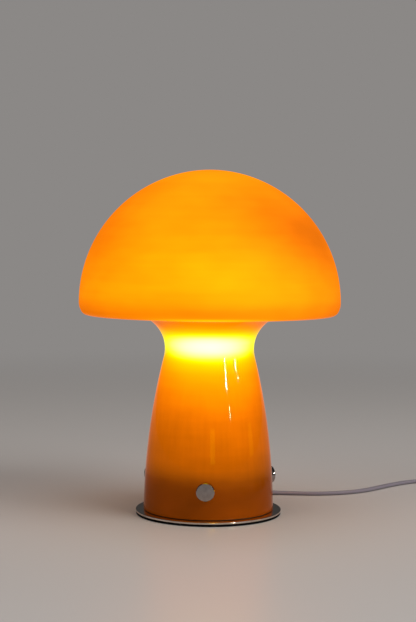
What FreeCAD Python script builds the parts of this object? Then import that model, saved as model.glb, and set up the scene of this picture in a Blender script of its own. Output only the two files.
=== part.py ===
"""Mushroom table lamp: a one-piece opal glass body, cap and stem blown together, on a polished round base.

Millimetres, +Z up. The origin is the centre of the round base, where its foam pad meets the table. The
front of the lamp faces -Y. The glass is held by three thumbscrews that pass through its wall into a
steel pan inside the stem, and the cord leaves low down at the back.
"""
import FreeCAD, Part
import math
import os
import Sketcher
from FreeCAD import Placement, Rotation, Vector

SIZES = {
    # base
    "pad_thickness": 1.8, "pad_radius": 55.6, "plate_thickness": 1.5, "plate_radius": 56.0,
    "plate_edge_chamfer": 0.3, "gasket_thickness": 0.6, "gasket_inner_radius": 46.3,
    "gasket_outer_radius": 49.3,
    # glass: the outer face is a chain of tangent arcs, the inner face runs parallel to it
    "glass_wall": 3.0, "cap_radius": 100.0, "cap_widest_height": 162.4, "dome_side_radius": 101.2,
    "dome_top_radius": 96.0, "rim_side_radius": 13.6, "rim_corner_radius": 5.5, "rim_turn": 30.0,
    "neck_fillet_radius": 26.0, "stem_arc_radius": 508.5, "stem_arc_height": -2.06,
    "stem_foot_radius": 49.92,
    # inner pan, its screws and rivet nuts
    "pan_radius": 43.5, "pan_wall": 1.2, "pan_top": 36.4, "pan_corner_radius": 3.0,
    "pan_flange_radius": 31.0, "pan_screw_circle": 36.5, "pan_screw_radius": 1.5,
    "pan_screw_head_radius": 2.9, "pan_screw_length": 8.0, "pan_screw_turn": 60.0,
    "nut_flange_radius": 5.0, "nut_flange_thickness": 0.8, "nut_barrel_radius": 3.45,
    "nut_barrel_length": 10.0, "nut_bore_radius": 2.55,
    # thumbscrews, three round the foot of the stem
    "screw_height": 25.5, "screw_yaw": -2.3, "screw_head_radius": 6.8, "screw_head_thickness": 5.4,
    "screw_head_chamfer": 0.8, "screw_shank_radius": 2.5, "screw_shank_end": 34.5,
    "screw_hole_radius": 3.5, "washer_radius": 6.3, "washer_thickness": 1.2, "washer_seat": 49.55,
    # riser tube and its nuts
    "riser_radius": 5.0, "riser_bore_radius": 3.6, "riser_bottom": 29.5, "riser_top": 53.0,
    "hex_nut_radius": 8.1, "hex_nut_thickness": 3.0, "lock_washer_radius": 9.0,
    "lock_washer_thickness": 0.8, "riser_fit": 0.05,
    # lampholder, small screw size (E14)
    "holder_bottom": 46.0, "holder_boss_radius": 7.5, "holder_radius": 14.2, "holder_wall": 1.6,
    "holder_floor": 54.0, "holder_joint": 66.0, "holder_rim": 94.0, "holder_rim_radius": 13.0,
    "holder_rim_bore": 8.9, "holder_lip_thickness": 2.0, "insert_bottom": 63.6, "insert_top": 68.0,
    "shell_top": 90.0, "shell_inner_radius": 7.05, "shell_outer_radius": 7.5,
    "terminal_offset": 7.6, "terminal_screw_radius": 1.5, "terminal_head_radius": 2.6,
    # bulb, golf ball shape, 45 mm
    "bulb_centre": 130.0, "bulb_radius": 22.5, "bulb_wall": 1.2, "bulb_tip": 74.5,
    "bulb_contact_radius": 2.4, "bulb_contact_thickness": 1.4, "bulb_glass_top": 78.5,
    "bulb_glass_radius": 6.2, "bulb_cap_radius": 6.95, "bulb_cap_wall": 0.35, "bulb_cap_top": 95.5,
    "bulb_skirt_radius": 8.0, "bulb_shoulder": 117.2, "bulb_shoulder_radius": 18.2,
    "board_radius": 15.5, "board_thickness": 1.2, "chip_circle": 9.5, "chip_side": 3.2,
    "chip_thickness": 0.7,
    # flat twin cord
    "cord_width": 5.4, "cord_thickness": 2.8, "cord_azimuth": 150.0, "relief_tilt": 12.0,
    "relief_end_reach": 70.8, "relief_end_height": 5.7, "relief_cone_length": 19.5,
    "relief_big_radius": 4.6, "relief_small_radius": 3.5, "relief_flange_radius": 5.4,
    "relief_flange_thickness": 1.2, "relief_barrel_radius": 4.0, "cord_hole_radius": 4.15,
    "cord_crest_reach": 34.0, "lead_radius": 0.85, "lead_spacing": 1.3,
    "clamp_reach": 24.0, "clamp_width": 18.0, "clamp_depth": 8.0, "saddle_thickness": 2.4,
    "clamp_screw_offset": 6.4, "clamp_screw_radius": 1.25,
    # coil of put-away cord
    "coil_outer_radius": 40.0, "coil_pitch": 6.1, "coil_quarters": 13.0, "coil_layer_1": 2.0,
    "coil_layer_2": 6.4, "coil_x": 273.7, "coil_y": -16.0, "tie_thickness": 0.4, "tie_width": 6.0,
    # inline switch
    "switch_x": 233.7, "switch_y": 58.4, "switch_length": 62.0, "switch_width": 25.0,
    "switch_height": 16.0, "switch_wall": 1.6, "switch_split": 7.4, "switch_corner": 9.0,
    "tray_edge": 1.2, "lid_edge": 3.2, "switch_cord_height": 6.0,
    "rocker_length": 21.0, "rocker_width": 11.0, "rocker_gap": 0.4, "rocker_tilt": 8.0,
    "rocker_pivot_height": 12.0, "pivot_radius": 1.0, "boss_thickness": 2.5, "boss_depth": 5.0,
    "post_x": 6.8, "post_y": 22.0, "post_radius": 2.6, "case_screw_radius": 1.2,
    # plug, two round 4 mm pins
    "plug_x": 226.0, "plug_y": -114.0, "plug_width": 35.3, "plug_thickness": 13.7,
    "plug_length": 35.0, "plug_shoulder": 6.0, "plug_flare": 18.0, "plug_neck_width": 12.0,
    "plug_edge": 3.0, "plug_clearance": 0.05, "plug_relief_length": 22.0, "plug_relief_big": 5.0,
    "plug_relief_small": 3.5, "pin_radius": 2.0, "pin_length": 19.0, "pin_spacing": 18.6,
    "pin_core_radius": 1.4, "pin_sleeve_radius": 1.8, "pin_sleeve_length": 10.0, "pin_tip": 0.8,
}

doc = FreeCAD.newDocument("mushroom_lamp")
sheet = doc.addObject("Spreadsheet::Sheet", "Sizes")


class Size:
    """A number that also carries the expression which works it out from the sheet."""

    def __init__(self, value, text):
        self.value = float(value)
        self.text = text

    def __add__(self, other):
        return Size(self.value + size(other).value, f"({self.text} + {size(other).text})")

    def __sub__(self, other):
        return Size(self.value - size(other).value, f"({self.text} - {size(other).text})")

    def __mul__(self, other):
        return Size(self.value * size(other).value, f"({self.text} * {size(other).text})")

    def __truediv__(self, other):
        return Size(self.value / size(other).value, f"({self.text} / {size(other).text})")

    def __neg__(self):
        return Size(-self.value, f"(0 - {self.text})")


def size(number):
    """Turn a plain number into a Size."""
    return number if isinstance(number, Size) else Size(number, repr(float(number)))


def root(square):
    """Square root of a Size."""
    return Size(math.sqrt(square.value), f"sqrt({square.text})")


def sine(angle):
    """Sine of a Size in degrees."""
    return Size(math.sin(math.radians(angle.value)), f"sin({angle.text} * 1 deg)")


def cosine(angle):
    """Cosine of a Size in degrees."""
    return Size(math.cos(math.radians(angle.value)), f"cos({angle.text} * 1 deg)")


dim = {}
for row, (alias, value) in enumerate(SIZES.items(), start=1):
    sheet.set(f"A{row}", alias.replace("_", " "))
    sheet.set(f"B{row}", str(value))
    sheet.setAlias(f"B{row}", alias)
    dim[alias] = Size(value, f"Sizes.{alias}")
doc.recompute()

nodes = []


def node(label, part):
    """Give a finished sub-part its name and list it for writing out."""
    part.Label = label
    nodes.append(part)
    return part


def bind(part, **values):
    """Bind properties of an object to the sheet."""
    for name, value in values.items():
        part.setExpression(name, size(value).text)


def place(part, x=0, y=0, z=0, rotation=None):
    """Put an object at x, y, z, each bound to the sheet."""
    part.Placement = Placement(Vector(size(x).value, size(y).value, size(z).value), rotation or Rotation())
    for axis, value in (("x", x), ("y", y), ("z", z)):
        if isinstance(value, Size):
            part.setExpression(f"Placement.Base.{axis}", value.text)
    return part


def aim(part, azimuth, reach, height, dip=0.0):
    """Turn an object's own +Z axis outwards, at an azimuth counted from the front, and dip it down."""
    outward = Rotation(Vector(0, 0, 1), azimuth.value - 90) * Rotation(Vector(0, 1, 0), 90 + dip)
    return place(part, reach * sine(azimuth), -(reach * cosine(azimuth)), height, outward)


def cylinder(name, radius, height):
    """Solid cylinder standing on its own origin."""
    part = doc.addObject("Part::Cylinder", name)
    bind(part, Radius=radius, Height=height)
    return part


def cone(name, low_radius, high_radius, height):
    """Solid cone frustum standing on its own origin."""
    part = doc.addObject("Part::Cone", name)
    bind(part, Radius1=low_radius, Radius2=high_radius, Height=height)
    return part


def box(name, length, width, height, x=0, y=0, z=0):
    """Box centred on x and y, standing at z."""
    part = doc.addObject("Part::Box", name)
    bind(part, Length=length, Width=width, Height=height)
    return place(part, size(x) - size(length) / 2, size(y) - size(width) / 2, size(z))


def fuse(name, parts):
    """Union of several objects."""
    part = doc.addObject("Part::MultiFuse", name)
    part.Shapes = parts
    return part


def cut(name, base, tools):
    """Base with the tools taken away."""
    part = doc.addObject("Part::Cut", name)
    part.Base = base
    part.Tool = tools[0] if len(tools) == 1 else fuse(name + "_tools", tools)
    return part


def group(name, parts):
    """Several like solids kept together as one sub-part."""
    part = doc.addObject("Part::Compound", name)
    part.Links = parts
    return part


def origin_plane(body, role):
    """One of a body's own origin planes."""
    return [feature for feature in body.Origin.OriginFeatures if feature.Role == role][0]


def arc_geometry(start, end, radius, turn):
    """Arc of under half a turn from start to end; turn is +1 anticlockwise and -1 clockwise."""
    chord = end - start
    left = Vector(-chord.y, chord.x, 0).normalize()
    rise = math.sqrt(max(radius * radius - chord.Length ** 2 / 4, 0.0))
    centre = (start + end) * 0.5 + left * rise * turn
    first, last = (start, end) if turn > 0 else (end, start)
    angle_1 = math.atan2(first.y - centre.y, first.x - centre.x)
    angle_2 = math.atan2(last.y - centre.y, last.x - centre.x)
    if angle_2 < angle_1:
        angle_2 += 2 * math.pi
    return Part.ArcOfCircle(Part.Circle(centre, Vector(0, 0, 1), radius), angle_1, angle_2)


def outline(body, role, corners, name):
    """Closed sketch through corners (u, v); a corner with (radius, turn) starts an arc to the next."""
    sketch = body.newObject("Sketcher::SketchObject", name)
    sketch.AttachmentSupport = [(origin_plane(body, role), "")]
    sketch.MapMode = "FlatFace"
    ends = []
    radii = []
    for index, corner in enumerate(corners):
        following = corners[(index + 1) % len(corners)]
        start = Vector(size(corner[0]).value, size(corner[1]).value, 0)
        end = Vector(size(following[0]).value, size(following[1]).value, 0)
        if len(corner) == 2:
            edge = sketch.addGeometry(Part.LineSegment(start, end), False)
            ends.append((edge, 1, 2))
        else:
            radius, turn = corner[2]
            edge = sketch.addGeometry(arc_geometry(start, end, size(radius).value, turn), False)
            ends.append((edge, 1, 2) if turn > 0 else (edge, 2, 1))
            radii.append((edge, size(radius)))
    for index, corner in enumerate(corners):
        edge, first, _ = ends[index]
        previous, _, last = ends[index - 1]
        sketch.addConstraint(Sketcher.Constraint("Coincident", previous, last, edge, first))
        for kind, value in (("DistanceX", size(corner[0])), ("DistanceY", size(corner[1]))):
            place_of = sketch.addConstraint(Sketcher.Constraint(kind, -1, 1, edge, first, value.value))
            sketch.setExpression(f"Constraints[{place_of}]", value.text)
    for edge, radius in radii:
        bound = sketch.addConstraint(Sketcher.Constraint("Radius", edge, radius.value))
        sketch.setExpression(f"Constraints[{bound}]", radius.text)
    return sketch


def turned(name, corners):
    """Solid of revolution about the body's own Z axis, from an outline in its XZ plane."""
    body = doc.addObject("PartDesign::Body", name)
    sketch = outline(body, "XZ_Plane", corners, name + "_outline")
    revolution = body.newObject("PartDesign::Revolution", name + "_turned")
    revolution.Profile = sketch
    revolution.ReferenceAxis = (sketch, ["V_Axis"])
    revolution.Angle = 360.0
    return body


def padded(name, corners, height):
    """Solid pushed up from an outline in the body's XY plane."""
    body = doc.addObject("PartDesign::Body", name)
    sketch = outline(body, "XY_Plane", corners, name + "_outline")
    pad = body.newObject("PartDesign::Pad", name + "_pad")
    pad.Profile = sketch
    bind(pad, Length=height)
    return body


def ring(name, inner, outer, bottom, top):
    """Flat ring or tube about Z."""
    return turned(name, [(inner, bottom), (outer, bottom), (outer, top), (inner, top)])


def three_round(name, make, yaw, reach, height):
    """Three like pieces aimed outwards at 120 degrees to each other."""
    return [aim(make(f"{name}_{index}"), yaw + 120.0 * index, reach, height) for index in range(3)]


# ---------------------------------------------------------------- levels and radii worked out
plate_bottom = dim["pad_thickness"]
plate_top = plate_bottom + dim["plate_thickness"]
glass_foot = plate_top + dim["gasket_thickness"]
pan_ceiling = dim["pan_top"] - dim["pan_wall"]
zero = size(0)

# ---------------------------------------------------------------- base pad
# Soft black foam disc, glued under the plate.
node("base_pad", cylinder("base_pad", dim["pad_radius"], dim["pad_thickness"]))


# ---------------------------------------------------------------- base plate
# Polished steel disc with a broken edge and three countersunk holes for the pan's screws.
def countersunk(name, spare):
    """Countersunk screw with its head's flat face at z 0, or its hole with some spare room."""
    head = cone(name + "_head", dim["pan_screw_head_radius"] + spare, dim["pan_screw_radius"] + spare,
                dim["plate_thickness"] - 0.1)
    shank = cylinder(name + "_shank", dim["pan_screw_radius"] + spare, dim["pan_screw_length"])
    return fuse(name, [head, shank])


def pan_screw_set(name, spare):
    """The three countersunk screws in their places."""
    pieces = []
    for index in range(3):
        azimuth = dim["pan_screw_turn"] + 120.0 * index
        piece = countersunk(f"{name}_{index}", spare)
        place(piece, dim["pan_screw_circle"] * sine(azimuth), -(dim["pan_screw_circle"] * cosine(azimuth)),
              plate_bottom)
        pieces.append(piece)
    return pieces


edge_break = dim["plate_edge_chamfer"]
plate_blank = turned("plate_blank", [
    (zero, plate_bottom), (dim["plate_radius"] - edge_break, plate_bottom),
    (dim["plate_radius"], plate_bottom + edge_break), (dim["plate_radius"], plate_top - edge_break),
    (dim["plate_radius"] - edge_break, plate_top), (zero, plate_top)])
screw_spare = 0.04
node("base_plate", cut("base_plate", plate_blank, pan_screw_set("plate_hole", screw_spare)))
node("pan_screws", group("pan_screws", pan_screw_set("pan_screw", 0.0)))

# ---------------------------------------------------------------- rim gasket
# Thin black rubber ring between the glass rim and the plate.
node("rim_gasket", ring("rim_gasket", dim["gasket_inner_radius"], dim["gasket_outer_radius"],
                        plate_top, glass_foot))

# ---------------------------------------------------------------- glass body
# Cap and stem are one blown piece. Its outer outline, from the crown down: dome top, dome side, rim
# side, rim corner, flat underside, neck fillet, stem. Every arc meets the next one tangentially.
wall = dim["glass_wall"]
side_offset = dim["dome_side_radius"] - dim["cap_radius"]
dome_gap = dim["dome_side_radius"] - dim["dome_top_radius"]
dome_top_centre = dim["cap_widest_height"] + root(dome_gap * dome_gap - side_offset * side_offset)
rim_side_centre = dim["cap_radius"] - dim["rim_side_radius"]
rim_step = dim["rim_side_radius"] - dim["rim_corner_radius"]
corner_x = rim_side_centre + rim_step * cosine(dim["rim_turn"])
corner_z = dim["cap_widest_height"] - rim_step * sine(dim["rim_turn"])
underside = corner_z - dim["rim_corner_radius"]
fillet_z = underside - dim["neck_fillet_radius"]
stem_rise = glass_foot - dim["stem_arc_height"]
stem_arc = dim["stem_arc_radius"]
stem_x = dim["stem_foot_radius"] - root(stem_arc * stem_arc - stem_rise * stem_rise)
centre_span = stem_arc + dim["neck_fillet_radius"]
fillet_rise = fillet_z - dim["stem_arc_height"]
fillet_x = stem_x + root(centre_span * centre_span - fillet_rise * fillet_rise)


def glass_face(inset):
    """Corners of the glass outline, from the crown to the foot, inset from the outer face."""
    top_radius = dim["dome_top_radius"] - inset
    side_radius = dim["dome_side_radius"] - inset
    rim_radius = dim["rim_side_radius"] - inset
    corner_radius = dim["rim_corner_radius"] - inset
    fillet_radius = dim["neck_fillet_radius"] + inset
    stem_radius = stem_arc - inset
    share = side_radius / dome_gap
    blend_x = side_offset * share - side_offset
    blend_z = dim["cap_widest_height"] + (dome_top_centre - dim["cap_widest_height"]) * share
    foot_x = stem_x + root(stem_radius * stem_radius - stem_rise * stem_rise)
    part_of_span = stem_radius / centre_span
    return [
        (zero, dome_top_centre + top_radius, (top_radius, -1)),
        (blend_x, blend_z, (side_radius, -1)),
        (dim["cap_radius"] - inset, dim["cap_widest_height"], (rim_radius, -1)),
        (rim_side_centre + rim_radius * cosine(dim["rim_turn"]),
         dim["cap_widest_height"] - rim_radius * sine(dim["rim_turn"]), (corner_radius, -1)),
        (corner_x, underside + inset),
        (fillet_x, underside + inset, (fillet_radius, 1)),
        (stem_x + (fillet_x - stem_x) * part_of_span,
         dim["stem_arc_height"] + fillet_rise * part_of_span, (stem_radius, -1)),
        (foot_x, glass_foot)]


def turned_back(corners):
    """The same run of corners walked from its end to its start."""
    back = []
    for index in range(len(corners) - 1, -1, -1):
        u, v = corners[index][0], corners[index][1]
        before = corners[index - 1] if index > 0 else (0, 0)
        if len(before) == 3:
            radius, turn = before[2]
            back.append((u, v, (radius, -turn)))
        else:
            back.append((u, v))
    return back


glass_blank = turned("glass_blank", glass_face(size(0)) + turned_back(glass_face(wall)))
yaw = dim["screw_yaw"]
glass_holes = three_round(
    "glass_hole", lambda name: cylinder(name, dim["screw_hole_radius"], size(12)),
    yaw, dim["washer_seat"] - 8.0, dim["screw_height"])
relief_reach = dim["relief_cone_length"] + 8.0


def on_relief_axis(part, distance):
    """Aim a piece along the tilted axis of the cord's relief, at a distance back from its outer end."""
    reach = dim["relief_end_reach"] - distance * cosine(dim["relief_tilt"])
    height = dim["relief_end_height"] + distance * sine(dim["relief_tilt"])
    return aim(part, dim["cord_azimuth"], reach, height, dim["relief_tilt"].value)


cord_hole = on_relief_axis(cylinder("glass_cord_hole", dim["cord_hole_radius"], size(14)), relief_reach)
node("glass_body", cut("glass_body", glass_blank, glass_holes + [cord_hole]))

# ---------------------------------------------------------------- inner pan
# Deep drawn steel pan, upside down, flanged inwards at its foot and screwed to the plate.
pan_wall = dim["pan_wall"]
pan_inner = dim["pan_radius"] - pan_wall
corner = dim["pan_corner_radius"]
riser_hole = dim["riser_radius"] + 0.1
pan_blank = turned("pan_blank", [
    (dim["pan_flange_radius"], plate_top), (dim["pan_radius"], plate_top),
    (dim["pan_radius"], dim["pan_top"] - corner, (corner, 1)), (dim["pan_radius"] - corner, dim["pan_top"]),
    (riser_hole, dim["pan_top"]), (riser_hole, pan_ceiling),
    (dim["pan_radius"] - corner, pan_ceiling, (corner - pan_wall, -1)),
    (pan_inner, dim["pan_top"] - corner), (pan_inner, plate_top + pan_wall),
    (dim["pan_flange_radius"], plate_top + pan_wall)])
pan_holes = three_round(
    "pan_nut_hole", lambda name: cylinder(name, dim["nut_barrel_radius"] + 0.05, size(8)),
    yaw, dim["pan_radius"] - 6.0, dim["screw_height"])
pan_cord_hole = on_relief_axis(cylinder("pan_cord_hole", dim["cord_hole_radius"], size(10)),
                               relief_reach + 7.0)
node("inner_pan", cut("inner_pan", pan_blank, pan_holes + [pan_cord_hole]
                      + pan_screw_set("pan_flange_hole", screw_spare)))


# ---------------------------------------------------------------- rivet nuts
# M5 rivet nuts set in the pan's wall, which take the thumbscrews.
def rivet_nut(name):
    """Rivet nut: the flange lies on the pan, the barrel points inwards (-Z)."""
    return turned(name, [
        (dim["nut_bore_radius"], -dim["nut_barrel_length"]),
        (dim["nut_barrel_radius"], -dim["nut_barrel_length"]), (dim["nut_barrel_radius"], zero),
        (dim["nut_flange_radius"], zero),
        (dim["nut_flange_radius"], dim["nut_flange_thickness"]),
        (dim["nut_bore_radius"], dim["nut_flange_thickness"])])


node("pan_nuts", group("pan_nuts", three_round("pan_nut", rivet_nut, yaw, dim["pan_radius"] + 0.02,
                                               dim["screw_height"])))


# ---------------------------------------------------------------- thumbscrews and washers
# Flat, smooth chromed heads on an M5 shank, each with a nylon washer against the glass.
def thumbscrew(name):
    """Thumbscrew: the head's underside is at z 0, the shank points inwards (-Z)."""
    head = dim["screw_head_radius"]
    thickness = dim["screw_head_thickness"]
    chamfer = dim["screw_head_chamfer"]
    shank = dim["screw_shank_radius"]
    length = dim["washer_seat"] + dim["washer_thickness"] - dim["screw_shank_end"]
    tip = 0.6
    return turned(name, [
        (zero, -length), (shank - tip, -length), (shank, -(length - tip)),
        (shank, zero), (head - chamfer, zero), (head, chamfer), (head, thickness - chamfer),
        (head - chamfer, thickness), (zero, thickness)])


def washer(name):
    """Washer under a thumbscrew's head, its inner face at z 0."""
    return ring(name, dim["screw_shank_radius"] + 0.05, dim["washer_radius"], zero, dim["washer_thickness"])


head_seat = dim["washer_seat"] + dim["washer_thickness"]
for index, side in enumerate(("front", "right", "left")):
    azimuth = yaw + 120.0 * index
    node(f"thumbscrew_{side}", aim(thumbscrew(f"thumbscrew_{side}"), azimuth, head_seat, dim["screw_height"]))
    node(f"washer_{side}", aim(washer(f"washer_{side}"), azimuth, dim["washer_seat"], dim["screw_height"]))

# ---------------------------------------------------------------- riser tube and its fixings
# M10 x 1 threaded tube through the pan's top, held by two thin nuts and a toothed washer.
node("riser_tube", ring("riser_tube", dim["riser_bore_radius"], dim["riser_radius"], dim["riser_bottom"],
                        dim["riser_top"]))
bore = dim["riser_radius"] + dim["riser_fit"]


def hex_nut(name, bottom):
    """Thin hexagon nut about Z."""
    blank = doc.addObject("Part::Prism", name + "_blank")
    blank.Polygon = 6
    bind(blank, Circumradius=dim["hex_nut_radius"], Height=dim["hex_nut_thickness"])
    place(blank, 0, 0, bottom)
    hole = place(cylinder(name + "_hole", bore, dim["hex_nut_thickness"]), 0, 0, bottom)
    return cut(name, blank, [hole])


lock_washer_top = dim["pan_top"] + dim["lock_washer_thickness"]
node("tube_nut_lower", hex_nut("tube_nut_lower", pan_ceiling - dim["hex_nut_thickness"]))
node("tube_nut_upper", hex_nut("tube_nut_upper", lock_washer_top))
node("lock_washer", ring("lock_washer", bore, dim["lock_washer_radius"], dim["pan_top"], lock_washer_top))

# ---------------------------------------------------------------- lampholder
# Moulded cup that screws onto the riser, terminal insert, brass screw shell, centre contact and sleeve.
holder = dim["holder_radius"]
holder_inner = holder - dim["holder_wall"]
node("holder_cup", turned("holder_cup", [
    (bore, dim["holder_bottom"]), (dim["holder_boss_radius"], dim["holder_bottom"]),
    (dim["holder_boss_radius"], dim["holder_floor"] - 3.0), (holder, dim["holder_floor"] + 1.6),
    (holder, dim["holder_joint"]), (holder_inner, dim["holder_joint"]),
    (holder_inner, dim["holder_floor"] + 2.2), (holder_inner - 5.4, dim["holder_floor"]),
    (bore, dim["holder_floor"])]))
sleeve_wall = dim["holder_wall"]
lip_bottom = dim["holder_rim"] - dim["holder_lip_thickness"]
node("holder_sleeve", turned("holder_sleeve", [
    (holder_inner, dim["holder_joint"]), (holder, dim["holder_joint"]),
    (dim["holder_rim_radius"], dim["holder_rim"]), (dim["holder_rim_bore"], dim["holder_rim"]),
    (dim["holder_rim_bore"], lip_bottom), (dim["holder_rim_radius"] - sleeve_wall, lip_bottom)]))
insert_height = dim["insert_top"] - dim["insert_bottom"]
insert_blank = place(cylinder("insert_blank", holder_inner - 0.1, insert_height), 0, 0, dim["insert_bottom"])
wire_holes = []
for index, side in enumerate((-1, 1)):
    hole = cylinder(f"insert_hole_{index}", dim["terminal_screw_radius"] + 0.02, insert_height)
    wire_holes.append(place(hole, dim["terminal_offset"] * side, 0, dim["insert_bottom"]))
node("holder_insert", cut("holder_insert", insert_blank, wire_holes))
node("screw_shell", ring("screw_shell", dim["shell_inner_radius"], dim["shell_outer_radius"],
                         dim["insert_top"], dim["shell_top"]))
contact_top = dim["bulb_tip"] - 0.05
contact_leaf = box("contact_leaf", size(9), size(4), size(0.5), 0, 0, contact_top - 0.5)
contact_post = place(cylinder("contact_post", size(1.2), contact_top - dim["insert_top"] - 0.2), 0, 0,
                     dim["insert_top"])
node("centre_contact", fuse("centre_contact", [contact_leaf, contact_post]))


def terminal_screw(name, side):
    """Brass terminal screw, its head under the insert."""
    head = cylinder(name + "_head", dim["terminal_head_radius"], size(1.6))
    place(head, dim["terminal_offset"] * side, 0, dim["insert_bottom"] - 1.6)
    shank = cylinder(name + "_shank", dim["terminal_screw_radius"], insert_height - 1.0)
    place(shank, dim["terminal_offset"] * side, 0, dim["insert_bottom"])
    return fuse(name, [head, shank])


node("terminal_screws", group("terminal_screws", [terminal_screw(f"terminal_screw_{side + 1}", side)
                                                   for side in (-1, 1)]))

# ---------------------------------------------------------------- bulb
# Golf ball bulb: solder contact, black glass, metal screw cap, white housing, light board and globe.
contact_seat = dim["bulb_tip"] + dim["bulb_contact_thickness"]
node("bulb_contact", place(cylinder("bulb_contact", dim["bulb_contact_radius"],
                                    dim["bulb_contact_thickness"] - 0.02), 0, 0, dim["bulb_tip"]))
insulator = cone("bulb_insulator", dim["bulb_contact_radius"] + 0.8, dim["bulb_glass_radius"],
                 dim["bulb_glass_top"] - contact_seat)
node("bulb_insulator", place(insulator, 0, 0, contact_seat))
cap = dim["bulb_cap_radius"]
cap_inner = cap - dim["bulb_cap_wall"]
node("bulb_cap", ring("bulb_cap", cap_inner - 0.5, cap, dim["bulb_glass_top"], dim["bulb_cap_top"]))
housing_wall = size(1.6)
shoulder = dim["bulb_shoulder"]
shoulder_radius = dim["bulb_shoulder_radius"]
node("bulb_housing", turned("bulb_housing", [
    (cap_inner - 2.5, dim["bulb_cap_top"] - 8.0), (cap_inner - 0.55, dim["bulb_cap_top"] - 8.0),
    (cap_inner - 0.55, dim["bulb_cap_top"]), (dim["bulb_skirt_radius"], dim["bulb_cap_top"]),
    (dim["bulb_skirt_radius"], dim["bulb_cap_top"] + 3.0), (shoulder_radius, shoulder),
    (shoulder_radius - housing_wall, shoulder), (shoulder_radius - housing_wall, shoulder - 2.5),
    (cap_inner - 2.5, dim["bulb_cap_top"] + 2.0)]))
node("light_board", place(cylinder("light_board", dim["board_radius"], dim["board_thickness"]), 0, 0,
                          shoulder - 1.4))
chips = []
for index in range(6):
    azimuth = size(60.0 * index)
    chips.append(box(f"chip_{index}", dim["chip_side"], dim["chip_side"], dim["chip_thickness"],
                     dim["chip_circle"] * sine(azimuth), dim["chip_circle"] * cosine(azimuth),
                     shoulder - 1.4 + dim["board_thickness"]))
node("light_chips", group("light_chips", chips))
globe = dim["bulb_radius"]
globe_inner = globe - dim["bulb_wall"]
drop = dim["bulb_centre"] - shoulder
node("bulb_globe", turned("bulb_globe", [
    (root(globe * globe - drop * drop), shoulder, (globe, 1)), (globe, dim["bulb_centre"], (globe, 1)),
    (zero, dim["bulb_centre"] + globe), (zero, dim["bulb_centre"] + globe_inner, (globe_inner, -1)),
    (globe_inner, dim["bulb_centre"], (globe_inner, -1)),
    (root(globe_inner * globe_inner - drop * drop), shoulder)]))

# ---------------------------------------------------------------- cord relief at the glass
# Rubber relief moulded on the cord: barrel through the glass, flange outside and a tapered tail.
tail = dim["relief_cone_length"]
barrel_length = size(8.5)
relief_tail = cone("relief_tail", dim["relief_big_radius"], dim["relief_small_radius"], tail)
relief_flange = cylinder("relief_flange", dim["relief_flange_radius"], dim["relief_flange_thickness"])
relief_barrel = cylinder("relief_barrel", dim["relief_barrel_radius"], barrel_length)
relief_parts = [on_relief_axis(relief_tail, tail), on_relief_axis(relief_flange, tail),
                on_relief_axis(relief_barrel, tail + barrel_length)]


UP = Vector(0, 0, 1)


def oblong_edges(centre, side, up):
    """The cord's flat section with round edges, as a wire about a centre."""
    width = dim["cord_width"].value
    thickness = dim["cord_thickness"].value
    a = centre + side * ((width - thickness) / 2)
    b = centre - side * ((width - thickness) / 2)
    lift = up * (thickness / 2)
    bulge = side * (thickness / 2)
    return Part.Wire([Part.LineSegment(b + lift, a + lift).toShape(),
                      Part.Arc(a + lift, a + bulge, a - lift).toShape(),
                      Part.LineSegment(a - lift, b - lift).toShape(),
                      Part.Arc(b - lift, b - bulge, b + lift).toShape()])


def round_section(radius):
    """Return a function that draws a round section of one radius."""
    def draw(centre, side, up):
        return Part.Wire([Part.Circle(centre, side.cross(up), radius).toShape()])
    return draw


def rounded_route(name, points):
    """Straight runs through the points, joined by tangent arcs as large as the runs allow."""
    edges = []
    radii = []
    here = points[0]
    for index in range(1, len(points) - 1):
        before = points[index] - points[index - 1]
        after = points[index + 1] - points[index]
        turn = before.getAngle(after)
        reach = 0.45 * min(before.Length, after.Length)
        radius = reach / math.tan(turn / 2)
        radii.append(round(radius, 1))
        start = points[index] - before.normalize() * reach
        end = points[index] + after.normalize() * reach
        inward = ((start + end) * 0.5 - points[index]).normalize()
        middle = points[index] + inward * (radius / math.cos(turn / 2) - radius)
        edges.append(Part.LineSegment(here, start).toShape())
        edges.append(Part.Arc(start, middle, end).toShape())
        here = end
    edges.append(Part.LineSegment(here, points[-1]).toShape())
    print(name, "bend radii", radii, "least", min(radii))
    return edges


def swept(name, edges, draw, fixed=None, wide=None):
    """Sweep a section along joined edges and check the volume against section times length.

    fixed is the direction that the section never leans from: the table's upward one for a cord that lies
    flat, or the wide side's own one, also given as wide, for a cord that bends within a plane.
    """
    path = Part.Wire(edges)
    start = edges[0].valueAt(edges[0].FirstParameter)
    along = edges[0].tangentAt(edges[0].FirstParameter)
    upright = along.cross(UP).Length < 1e-6
    side = wide or (Vector(1, 0, 0) if upright else along.cross(UP).normalize())
    section = draw(start, side, UP if fixed is UP else side.cross(along))
    shell = Part.BRepOffsetAPI.MakePipeShell(path)
    if fixed is not None:
        shell.setBiNormalMode(fixed)
    shell.add(section)
    shell.build()
    shell.makeSolid()
    solid = shell.shape()
    expected = Part.Face(section).Area * path.Length
    print(name, "length", round(path.Length, 1), "volume ratio", round(solid.Volume / expected, 4))
    part = doc.addObject("Part::Feature", name)
    part.Shape = solid
    return part


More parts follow.
